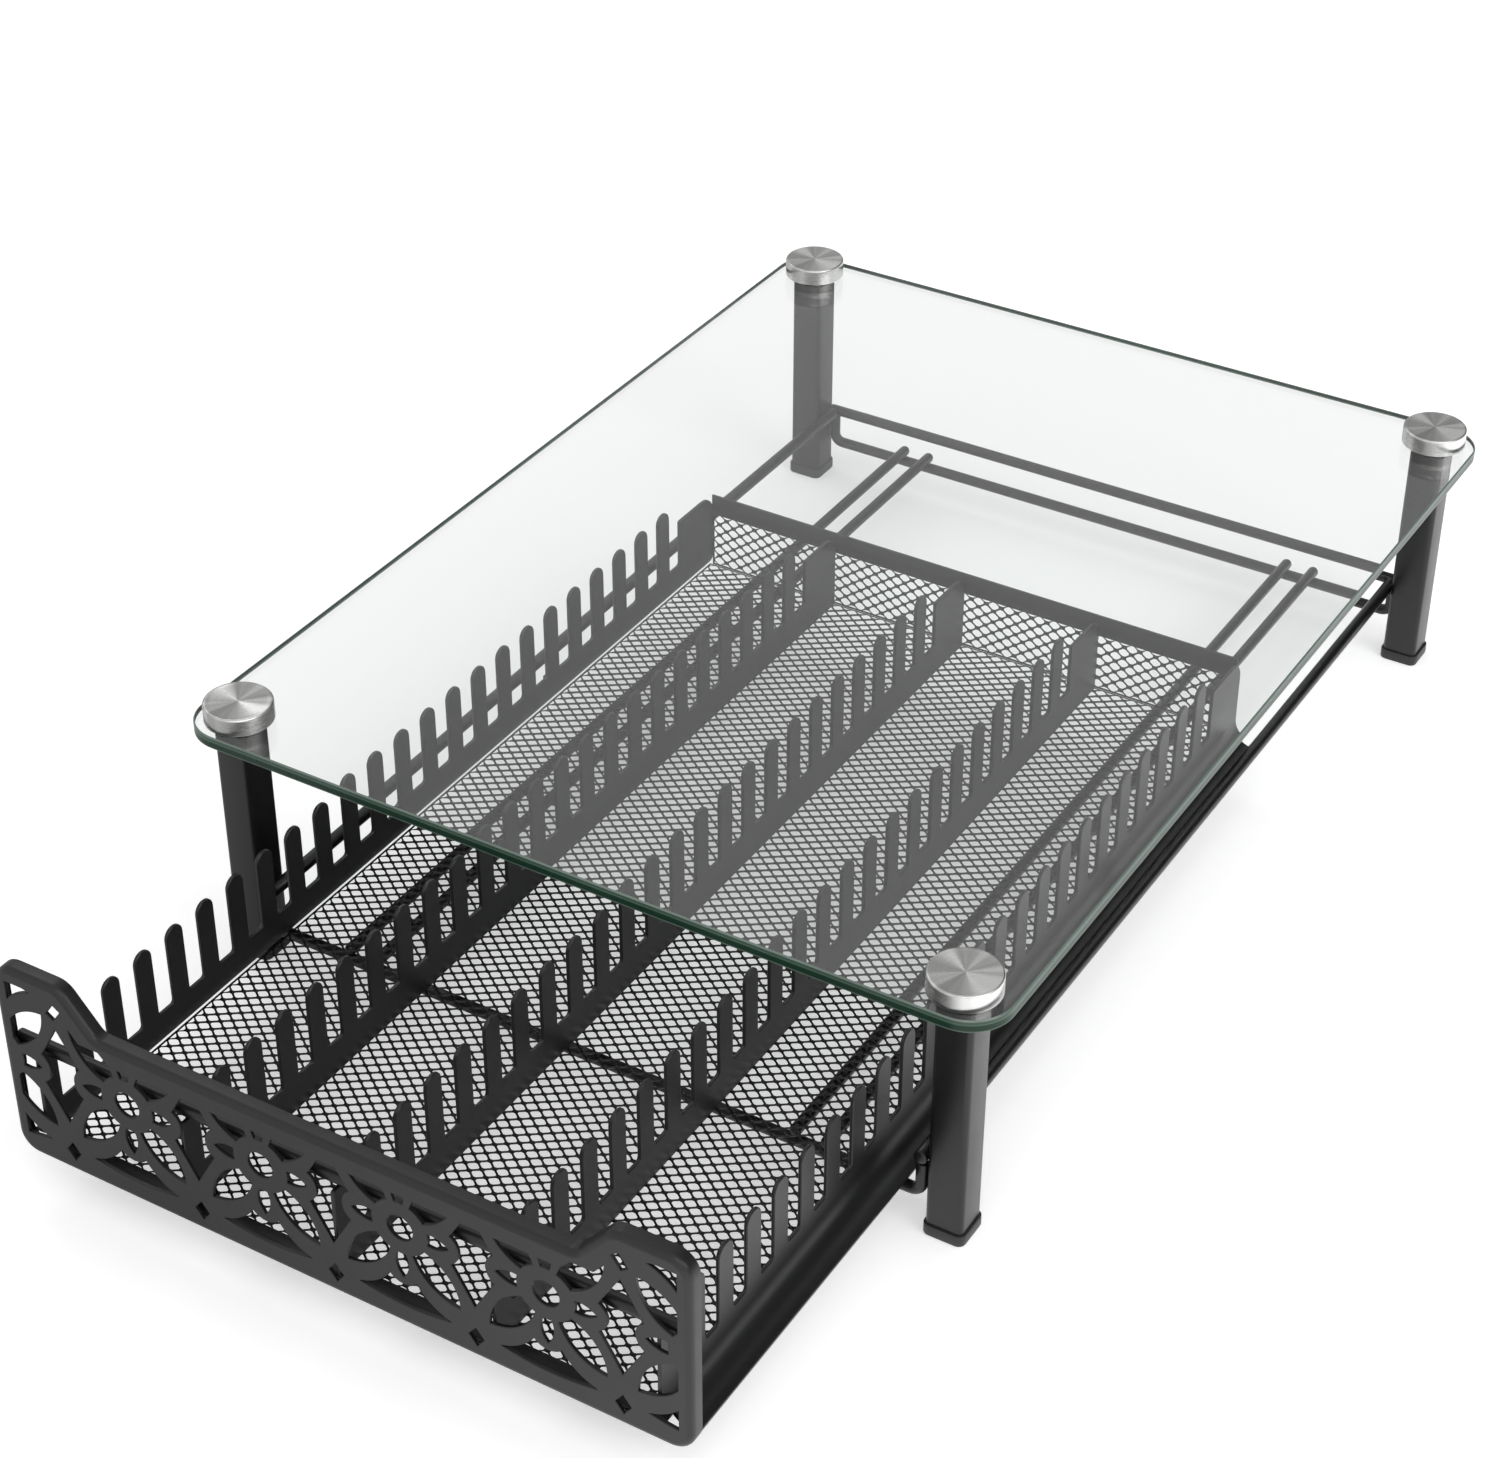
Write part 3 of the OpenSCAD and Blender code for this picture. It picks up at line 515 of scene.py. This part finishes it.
def capProfile(shape, bottom, top):  # the stud from its end up, the recess, the rim and the slightly sunk top
    wide, e, lip, recess = shape["radius"], shape["edge"], shape["underEdge"], shape["recess"]
    under, foot = top - shape["height"], glassHigh[2] + shape["clear"]
    stud, (tip, rise), rings = shape["stud"], shape["studRound"], shape["dishRings"]
    rim = arc((wide - e, top - e), e, 0, 90, shape["edgeSteps"])
    inner = np.stack([np.linspace(wide - e - shape["dishInset"], 0, rings), np.full(rings, top - shape["dish"])], 1)
    return np.concatenate([[[0, bottom], [tip, bottom], [stud, bottom + rise], [stud, under], [recess, under],
                            [recess, foot], [wide - lip, foot], [wide, foot + lip]], rim, inner])


def mapTurning(mesh, centre, top, radius):
    # The map: the turn round the axis, and the way run along the profile over the radius. Each face's angles stay
    # within half a turn of its middle, and on the axis they are the middle's own.
    place = np.empty(len(mesh.vertices) * 3)
    mesh.vertices.foreach_get("co", place)
    place = place.reshape(-1, 3) / mm - [*centre, 0]
    corner = np.empty(len(mesh.loops), dtype=np.int32)
    mesh.loops.foreach_get("vertex_index", corner)
    total = np.empty(len(mesh.polygons), dtype=np.int32)
    mesh.polygons.foreach_get("loop_total", total)
    owner = np.repeat(np.arange(len(total)), total)
    x, y, z = place[corner].T
    angle, radial = np.arctan2(y, x), np.hypot(x, y)
    onAxis = radial < 1e-3
    middle = np.zeros((len(total), 2))
    np.add.at(middle, owner, np.stack([np.cos(angle), np.sin(angle)], 1) * ~onAxis[:, None])
    reference = np.arctan2(middle[:, 1], middle[:, 0])[owner]
    angle = np.where(onAxis, reference, angle)
    angle = reference + (angle - reference + math.pi) % (2 * math.pi) - math.pi
    chart = mesh.uv_layers.new(name="turning")
    chart.data.foreach_set("uv", np.stack([angle / (2 * math.pi), (radial - z + top) / radius], 1).ravel())


for spot, centre in capCentres.items():
    low, high = boxOf("cap_" + spot)
    points, faces = lathe(capProfile(capShape, low[2], high[2]), centre, capShape["steps"])
    piece = makePiece("turned_cap_" + spot, points, faces, [turnedSteel], "stand", "steel", ["cap_" + spot])
    mapTurning(piece.data, centre, high[2], capShape["radius"])
print("glass and caps made")

combShape = {"sheet": 1.4, "side": 118.8, "lane": 59.4, "postTop": 59.0, "postRound": 1.0, "slot": 7.8,
             "pitch": 16.2, "slots": 24, "slotBottom": 36.9, "slotRound": 1.2, "tipTop": 67.1, "rearTop": 57.5,
             "rearRound": 8.0, "firstSlot": 10.1, "lastSlotEnd": 390.5, "length": 416.75, "soft": 0.28,
             "panel": 1.5, "smallSteps": 3, "tipSteps": 12, "rearSteps": 8}
coveShape = {"bend": 8.0, "bendSteps": 10, "flange": 129.5, "flangeBottom": 20.3, "front": 6.3, "join": 1.0}
lugShape = {"reach": 131.2, "height": 3.2, "round": 0.7, "steps": 4, "soft": 0.3}


def combOutline(shape, bottom, rearEnd):
    # The comb seen from the side, along and up: the bottom edge, the rear block with its round corner, then for
    # each finger a hollow fillet, a half circle at the tip and another fillet, and the front post.
    tip = (shape["pitch"] - shape["slot"]) / 2
    low, f, few = shape["slotBottom"], shape["slotRound"], shape["smallSteps"]
    r, p, last, first = shape["rearRound"], shape["postRound"], shape["lastSlotEnd"], shape["firstSlot"]
    unit = np.concatenate([arc((2 * tip + f, low + f), f, 270, 180, few),
                           arc((tip, shape["tipTop"] - tip), tip, 0, 180, shape["tipSteps"]),
                           arc((-f, low + f), f, 0, -90, few)])
    places = first + shape["slot"] + shape["pitch"] * np.arange(shape["slots"] - 1)[::-1]
    fingers = (unit[None] + np.stack([places, 0 * places], 1)[:, None]).reshape(-1, 2)
    return np.concatenate([
        [[shape["panel"], bottom], [rearEnd, bottom]],
        arc((rearEnd - r, shape["rearTop"] - r), r, 0, 90, shape["rearSteps"]),
        arc((last + p, shape["rearTop"] - p), p, 90, 180, few), arc((last - f, low + f), f, 0, -90, few),
        fingers, arc((first + f, low + f), f, 270, 180, few),
        arc((first - p, shape["postTop"] - p), p, 0, 90, few),
        arc((shape["panel"] + p, shape["postTop"] - p), p, 90, 180, few)])


def coveSection(wall, cove):  # the bend below the wall and the flange out of it: two curves, outer and inner
    b, t, e = cove["bend"], wall["sheet"], wall["soft"]
    x, z = wall["side"] + t / 2 + b, cove["flangeBottom"] + t + b
    halves = [np.concatenate([[[x - radius, z + cove["join"]]], arc((x, z), radius, 180, 270, cove["bendSteps"]),
                              [[cove["flange"] - e, z - radius], [cove["flange"], z - radius + turn]]])
              for radius, turn in ((b, -e), (b + t, e))]
    return np.concatenate([halves[0], halves[1][::-1]]), z + cove["join"]


section, joinZ = coveSection(combShape, coveShape)
sheet = combShape["sheet"]
for side, sign in (("left", -1), ("right", 1)):
    outline = combOutline(combShape, joinZ, combShape["length"])
    soft = np.full(len(outline), combShape["soft"])
    soft[:2] = 0  # the wall runs on into the bend
    points, faces = cutSheet([outline], sheet, [soft])[:2]
    points = np.stack([points[:, 2] + combShape["side"] - sheet / 2, points[:, 0] + faceY, points[:, 1]], 1)
    n, i = len(section), np.arange(len(section) // 2 - 1)
    cove = np.concatenate([np.c_[section[:, 0], np.full(n, faceY + y), section[:, 1]]
                           for y in (coveShape["front"], combShape["length"])])
    ends = np.stack([i, i + 1, n - 2 - i, n - 1 - i], 1)
    coveFaces = np.concatenate([gridFaces(2, n), ends, ends[:, ::-1] + n])
    points, faces = joined((points, faces), (cove, coveFaces))
    makePiece("wall_comb_" + side, points * [sign, 1, 1], faces, [sheetCoat], "drawer", "sheet_coat",
              ["side_comb_" + side])
for place, name in ((-1, "left"), (0, "middle"), (1, "right")):
    outline = combOutline(combShape, floorHigh[2], combShape["length"] - sheet)
    points, faces = cutSheet([outline], sheet, [combShape["soft"]])[:2]
    x = place * combShape["lane"] - sheet / 2
    points = np.stack([points[:, 2] + x, points[:, 0] + faceY, points[:, 1]], 1)
    makePiece("lane_comb_" + name, points, faces, [sheetCoat], "drawer", "sheet_coat", ["divider_comb_" + name])
for side, sign in (("left", -1), ("right", 1)):
    low, high = boxOf("stop_lug_" + side)
    root, reach, r = min(abs(low[0]), abs(high[0])), lugShape["reach"], lugShape["round"]
    top = low[2] + lugShape["height"]
    outline = np.concatenate([[[root, low[2]], [reach, low[2]]],
                              arc((reach - r, top - r), r, 0, 90, lugShape["steps"]), [[root, top]]])
    points, faces = cutSheet([outline], high[1] - low[1], [lugShape["soft"]])[:2]
    points = np.stack([points[:, 0] * sign, points[:, 2] + low[1], points[:, 1]], 1)
    makePiece("lug_" + side, points, faces, [sheetCoat], "drawer", "sheet_coat", ["stop_lug_" + side])
print("comb walls made")

netShape = {"longWay": 6.7, "shortWay": 4.8, "strand": 0.8, "knuckle": 0.42, "edgeStrip": 0.9, "front": 6.5,
            "floorThick": 0.8, "rearThick": 0.7, "stripSoft": 0.25, "sharp": 60}
rearShape = {"band": 9.0, "over": 0.6, "soft": 0.28}


def expandedNet(width, depth, cells, thick, shape):
    # Diamond cells in two sets half a step apart. A cell has four corners on the ridge between strands, above and
    # below, and an eight-sided opening at mid height; at the sheet's edges both are held inside the sheet.
    (across, along), limit = cells, np.array([width, depth])
    stepX, stepY = width / across, depth / along
    i, j = np.meshgrid(np.arange(across), np.arange(along), indexing="ij")
    k, l = np.meshgrid(np.arange(across + 1), np.arange(along + 1), indexing="ij")
    centres = np.concatenate([np.stack([(i + 0.5) * stepX, (j + 0.5) * stepY], -1).reshape(-1, 2),
                              np.stack([k * stepX, l * stepY], -1).reshape(-1, 2)])
    corners = np.array([[0.5, 0], [0, 0.5], [-0.5, 0], [0, -0.5]]) * [stepX, stepY]
    tips = corners * (1 - shape["strand"] * math.hypot(stepX, stepY) / (stepX * stepY))
    cut = shape["knuckle"] / 2
    opening = np.stack([tips + (np.roll(tips, 1, 0) - tips) * cut, tips + (np.roll(tips, -1, 0) - tips) * cut], 1)
    ridge = np.clip(centres[:, None] + corners, 0, limit)
    rim = np.clip(centres[:, None] + opening.reshape(-1, 2), shape["edgeStrip"], limit - shape["edgeStrip"])
    edge = ((ridge <= 1e-6) | (ridge >= limit - 1e-6)).any(-1)
    lift = np.where(edge, 0.0, thick / 2)[..., None]
    points = np.concatenate([np.concatenate([ridge, lift], -1), np.concatenate([ridge, -lift], -1),
                             np.concatenate([rim, np.zeros(rim.shape[:2] + (1,))], -1)], 1)
    # a cell's points: 0 to 3 above, 4 to 7 below, 8 to 15 round the opening, two beside each corner
    starts = np.arange(len(centres))[:, None] * 16
    quads, triangles = [], []
    for n in range(4):
        m = (n + 1) % 4
        quads += [[n, m, 8 + 2 * m, 9 + 2 * n], [4 + n, 9 + 2 * n, 8 + 2 * m, 4 + m]]
        triangles += [[n, 9 + 2 * n, 8 + 2 * n], [4 + n, 8 + 2 * n, 9 + 2 * n]]
    faces = (starts + np.array(quads).reshape(1, -1)).reshape(-1, 4).tolist()
    faces += (starts + np.array(triangles).reshape(1, -1)).reshape(-1, 3).tolist()
    return points.reshape(-1, 3), faces


def cellCounts(width, depth, shape):
    return round(width / shape["longWay"]), round(depth / shape["shortWay"])


def plainStrip(width, low, high, thick, soft):  # the flat strip between two heights of a net's sheet
    return cutSheet([np.array([[0, low], [width, low], [width, high], [0, high]], float)], thick, [soft])[:2]


def stoodUp(points, left, y, base, side):  # a sheet's plane made upright; side says which way its thickness goes
    return np.stack([points[:, 0] + left, y + side * points[:, 2], points[:, 1] + base], 1)


size = floorHigh - floorLow
netDepth = size[1] + floorLow[1] - faceY - netShape["front"]
points, faces = expandedNet(size[0], netDepth, cellCounts(size[0], netDepth, netShape),
                            size[2] * netShape["floorThick"], netShape)
points = points + [floorLow[0], floorHigh[1] - netDepth, (floorLow[2] + floorHigh[2]) / 2]
stripPoints, stripFaces = plainStrip(size[0], 0, size[1] - netDepth + netShape["edgeStrip"], size[2],
                                     netShape["stripSoft"])
points, faces = joined((points, faces), (stripPoints + floorLow, stripFaces))
makePiece("floor_net", points, faces, [meshCoat], "drawer", "sheet_coat", ["drawer_floor"],
          sharp=netShape["sharp"], net=True)

rearLow, rearHigh = boxOf("rear_wall")
size = rearHigh - rearLow
netHeight = size[2] - rearShape["band"]
points, faces = expandedNet(size[0], netHeight + rearShape["over"], cellCounts(size[0], netHeight, netShape),
                            size[1] * netShape["rearThick"], netShape)
bandPoints, bandFaces = plainStrip(size[0], netHeight, size[2], size[1], rearShape["soft"])
points, faces = joined((stoodUp(points, rearLow[0], (rearLow[1] + rearHigh[1]) / 2, rearLow[2], -1), faces),
                       (stoodUp(bandPoints, rearLow[0], rearHigh[1], rearLow[2], -1), bandFaces))
makePiece("rear_net", points, faces, [meshCoat], "drawer", "sheet_coat", ["rear_wall"],
          sharp=netShape["sharp"], net=True)
print("nets made")

panelShape = {"halfWidth": 131.0, "ear": 78.4, "low": 63.0, "lowHalf": 90.5, "slope": 13.0, "corner": 8.0,
              "slopeFoot": 5.0, "sheet": 1.5, "roll": 2.4, "depth": 6.0, "lip": 0.3, "cornerSteps": 8,
              "rollSteps": 6, "soft": 0.25, "margin": 3.6, "stretch": 1.0, "double": 0.3}


def panelCorners(shape):
    # each corner's radius, negative where it is hollow, the inward normals of its two edges, and its centre
    w, e, l, h, s = shape["halfWidth"], shape["ear"], shape["lowHalf"], shape["low"], shape["slope"]
    corner = np.array([[-w, 0], [w, 0], [w, e], [l + s, e], [l, h], [-l, h], [-l - s, e], [-w, e]], float)
    radius = np.array([1, 1, 1, 1, 0, 0, 1, 1]) * (shape["corner"] + shape["slopeFoot"]) - shape["slopeFoot"]
    after = leftOf(np.roll(corner, -1, 0) - corner)
    before = np.roll(after, 1, 0)
    centre = corner + radius[:, None] * (before + after) / (1 + (before * after).sum(1))[:, None]
    return radius, before, after, centre


def panelOutline(shape, inset):
    # The panel's outline brought in by an even inset: about each corner's own centre, points at the corner's
    # radius less the inset, turned from one edge's normal to the next.
    radius, before, after, centre = panelCorners(shape)
    start = np.arctan2(before[:, 1], before[:, 0])
    turn = (np.arctan2(after[:, 1], after[:, 0]) - start + math.pi) % (2 * math.pi) - math.pi
    angle = start[:, None] + turn[:, None] * np.linspace(0, 1, shape["cornerSteps"] + 1)
    spokes = np.stack([np.cos(angle), np.sin(angle)], -1)
    return (centre[:, None] - spokes * (radius - inset)[:, None, None]).reshape(-1, 2)


def cutOuts(node):  # the loops round the panel's openings, read from a merged copy of its flat front
    shell = bmesh.new()
    shell.from_mesh(nodes[node].data)
    bmesh.ops.remove_doubles(shell, verts=shell.verts, dist=0.001 * mm)
    front = {f for f in shell.faces if f.normal.y < -0.99 and f.calc_center_median().y < (faceY + 0.1) * mm}
    nextTo = {}
    for edge in shell.edges:
        if sum(f in front for f in edge.link_faces) == 1:
            a, b = edge.verts
            nextTo.setdefault(a.index, []).append(b.index)
            nextTo.setdefault(b.index, []).append(a.index)
    place = {v.index: (v.co.x / mm, v.co.z / mm - panelLow[2]) for v in shell.verts}
    loops, seen = [], set()
    for first in nextTo:
        if first in seen:
            continue
        loop, step = [], [first]
        while step:
            loop.append(step[0])
            seen.add(step[0])
            step = [n for n in nextTo[step[0]] if n not in seen]
        loops.append(np.array([place[n] for n in loop]))
    shell.free()
    widest = max(np.ptp(loop[:, 0]) for loop in loops)  # the panel's own outline, which isn't an opening
    holes = [loop for loop in loops if np.ptp(loop[:, 0]) < widest - 1]
    area = [(loop[:, 0] * np.roll(loop[:, 1], -1) - np.roll(loop[:, 0], -1) * loop[:, 1]).sum() / 2
            for loop in holes]
    return [loop[::-1] if a > 0 else loop for loop, a in zip(holes, area)]


def fineLoop(loop, longest, double):  # near doubles dropped, then each edge split evenly into short stretches
    loop = loop[np.linalg.norm(loop - np.roll(loop, 1, 0), axis=1) > double]
    ahead = np.roll(loop, -1, 0) - loop
    parts = np.ceil(np.linalg.norm(ahead, axis=1) / longest).astype(int)
    start = np.repeat(np.arange(len(loop)), parts)
    step = np.arange(len(start)) - np.repeat(np.cumsum(parts) - parts, parts)
    return loop[start] + ahead[start] * (step / parts[start])[:, None]


def heldIn(loop, shape, inset):
    # a point nearer to the panel's edge than the inset is moved square to that edge, or along its corner's spoke
    loop = loop.copy()
    radius, before, after, centre = panelCorners(shape)
    for k, inward in enumerate(after):
        start = centre[k] - inward * radius[k]
        run = centre[(k + 1) % len(radius)] - inward * radius[(k + 1) % len(radius)] - start
        along, deep = (loop - start) @ run / (run @ run), (loop - start) @ inward
        near = (along > 0) & (along < 1) & (deep < inset) & (deep > -inset)
        loop[near] += (inset - deep[near])[:, None] * inward
    for size, a, b, middle in zip(radius, before, after, centre):
        spoke = loop - middle
        far = np.linalg.norm(spoke, axis=1)
        if size > 0:
            past = (spoke @ a < 0) & (spoke @ b < 0) & (far > size - inset) & (far < 2 * size)
        else:
            way = np.sign(a[0] * b[1] - a[1] * b[0])
            past = ((a[0] * spoke[:, 1] - a[1] * spoke[:, 0]) * way > 0) & (
                (spoke[:, 0] * b[1] - spoke[:, 1] * b[0]) * way > 0) & (far < inset - size)
        loop[past] = middle + spoke[past] * (abs(size - inset) / far[past])[:, None]
    return loop


def rolledPanel(shape):
    holes = cutOuts("front_panel")
    print("cut-outs:", len(holes), "points:", sum(len(h) for h in holes))
    holes = [heldIn(fineLoop(loop, shape["stretch"], shape["double"]), shape, shape["margin"]) for loop in holes]
    loops = [panelOutline(shape, shape["roll"])] + holes
    plate, plateFaces = cutSheet(loops, shape["sheet"], [0] + [shape["soft"]] * len(holes))[:2]
    # the rolled edge: a section of inset and depth carried round the outline, and back to the plate's inside
    roll, t, d, lip = shape["roll"], shape["sheet"], shape["depth"], shape["lip"]
    section = np.concatenate([arc((roll, roll), roll, 270, 180, shape["rollSteps"]),
                              [[0, d - lip], [lip, d], [t - lip, d], [t, d - lip]],
                              arc((roll, roll), roll - t, 180, 270, shape["rollSteps"])])
    rings = np.stack([np.insert(panelOutline(shape, inset), 2, deep, 1) for inset, deep in section])
    points, faces = joined((plate, plateFaces), (rings.reshape(-1, 3), gridFaces(*rings.shape[:2])))
    makePiece("cut_out_panel", stoodUp(points, 0, faceY, panelLow[2], 1), faces, [sheetCoat], "drawer",
              "sheet_coat", ["front_panel"])


rolledPanel(panelShape)
print("front panel made")

for node, finish in (("upper_washers", washerRubber), ("lower_washers", washerRubber), ("leg_plugs", plugSteel)):
    shown = nodes[node]
    if not shown.material_slots:
        shown.data.materials.append(finish)
    for socket in shown.material_slots:
        socket.material = finish

# glow is added for the camera, glassGlow for what is seen through glass, and glossGlow for what gloss shows of the
# floor, from reach's left end to its right one, in metres
groundLook = {"size": 5.0, "color": (0.82, 0.82, 0.82, 1), "roughness": 0.9, "specular": 0.1, "glow": 0.4,
              "glassGlow": 0.33, "glossGlow": (0.05, 0.85), "reach": (-0.08, 0.22)}


def makeGround(look):
    bpy.ops.mesh.primitive_plane_add(size=look["size"], location=(0, 0, 0))
    ground = bpy.context.object
    ground.name = "ground"
    finish, tree, surface = newFinish("paleGround")
    rays = addNode(tree, "ShaderNodeLightPath").outputs
    place = addNode(tree, "ShaderNodeNewGeometry").outputs["Position"]
    parts = addNode(tree, "ShaderNodeSeparateXYZ", Vector=place).outputs
    across = ranged(tree, parts["X"], look["reach"], look["glossGlow"])
    # a ray through glass counts as gloss too
    onlyGloss = reckon(tree, "SUBTRACT", rays["Is Glossy Ray"], rays["Is Transmission Ray"], use_clamp=True)
    mirrored = reckon(tree, "MULTIPLY", onlyGloss, across)
    seen = reckon(tree, "MULTIPLY_ADD", rays["Is Camera Ray"], look["glow"], mirrored)
    glow = reckon(tree, "MULTIPLY_ADD", rays["Is Transmission Ray"], look["glassGlow"], seen)
    feedAll(tree, surface, {"Base Color": look["color"], "Roughness": look["roughness"],
                            "Specular IOR Level": look["specular"], "Emission Color": (1, 1, 1, 1),
                            "Emission Strength": glow})
    ground.data.materials.append(finish)


makeGround(groundLook)

# light is the level for soft light and gloss the one for gloss, both times rear behind the object and front before
# it; darkSide is what gloss shows of the far right; a way is a direction, and its span the cosines it changes over
studioLook = {"light": 0.8, "gloss": 0.95, "front": 1.3, "rear": 0.55, "frontWay": (0.5, -0.86, 0.0),
              "frontSpan": (-0.9, 0.9), "darkSide": 0.1, "darkWay": (0.75, 0.66, 0.0), "darkSpan": (0.25, 0.7)}


def makeStudio(look):
    world = bpy.data.worlds.new("studio")
    bpy.context.scene.world = world
    world.use_nodes = True
    tree = world.node_tree
    rays = addNode(tree, "ShaderNodeLightPath").outputs
    way = addNode(tree, "ShaderNodeTexCoord").outputs["Generated"]
    alike = []
    for direction in (look["frontWay"], look["darkWay"]):
        node = addNode(tree, "ShaderNodeVectorMath", operation="DOT_PRODUCT")
        feed(tree, node.inputs[0], way)
        feed(tree, node.inputs[1], direction)
        alike.append(node.outputs["Value"])
    front = ranged(tree, alike[0], look["frontSpan"], (look["rear"], look["front"]))
    wall = ranged(tree, alike[1], look["darkSpan"], (0.0, look["darkSide"] - 1), interpolation_type="SMOOTHSTEP")
    # strength = the larger of 1 for camera and glass rays, and level * front * (1 + wall if gloss)
    seen = reckon(tree, "MAXIMUM", rays["Is Camera Ray"], rays["Is Transmission Ray"])
    level = reckon(tree, "MULTIPLY_ADD", rays["Is Glossy Ray"], look["gloss"] - look["light"], look["light"])
    darker = reckon(tree, "MULTIPLY_ADD", rays["Is Glossy Ray"], wall, 1.0)
    shaded = reckon(tree, "MULTIPLY", reckon(tree, "MULTIPLY", level, front), darker)
    strength = reckon(tree, "MAXIMUM", seen, shaded)
    feedAll(tree, tree.nodes["Background"], {"Color": (1, 1, 1, 1), "Strength": strength})


makeStudio(studioLook)

lampTarget = (0, 0, 0.05)
lampShape = {"right": {"at": (1.6, -0.3, 1.2), "size": (1.0, 1.0), "power": 9.0},
             "left": {"at": (-1.2, 0.5, 1.5), "size": (0.5, 0.5), "power": 2.5},
             "front": {"at": (0.6, -1.05, 1.5), "size": (0.4, 0.4), "power": 2.5}}
for name, shape in lampShape.items():
    lamp = bpy.data.lights.new("lamp_" + name, "AREA")
    lamp.shape = "RECTANGLE"
    lamp.size, lamp.size_y = shape["size"]
    lamp.energy = shape["power"]
    holder = bpy.data.objects.new("lamp_" + name, lamp)
    holder.location = shape["at"]
    holder.rotation_euler = (Vector(lampTarget) - Vector(shape["at"])).to_track_quat("-Z", "Y").to_euler()
    bpy.context.scene.collection.objects.link(holder)

viewShape = {"at": (0.47725, -0.82345, 0.73081), "azimuth": 0.5406724, "elevation": 0.6092068,
             "roll": 0.0028393, "lens": 75.956}


def placeCamera(shape):  # angles in radians: the turn from +Y towards -X, the tilt down, and the roll
    azimuth, elevation, roll = shape["azimuth"], shape["elevation"], shape["roll"]
    ahead = Vector((-math.sin(azimuth) * math.cos(elevation), math.cos(azimuth) * math.cos(elevation),
                    -math.sin(elevation)))
    levelRight = Vector((math.cos(azimuth), math.sin(azimuth), 0))
    levelUp = levelRight.cross(ahead)
    right = math.cos(roll) * levelRight + math.sin(roll) * levelUp
    up = -math.sin(roll) * levelRight + math.cos(roll) * levelUp
    eye = bpy.data.cameras.new("photoView")
    eye.lens = shape["lens"]
    eye.sensor_width = 36
    eye.sensor_fit = "HORIZONTAL"
    viewer = bpy.data.objects.new("photoView", eye)
    viewer.matrix_world = Matrix.Translation(shape["at"]) @ Matrix((right, up, -ahead)).transposed().to_4x4()
    bpy.context.scene.collection.objects.link(viewer)
    bpy.context.scene.camera = viewer


placeCamera(viewShape)
bpy.context.scene.view_settings.view_transform = "Standard"
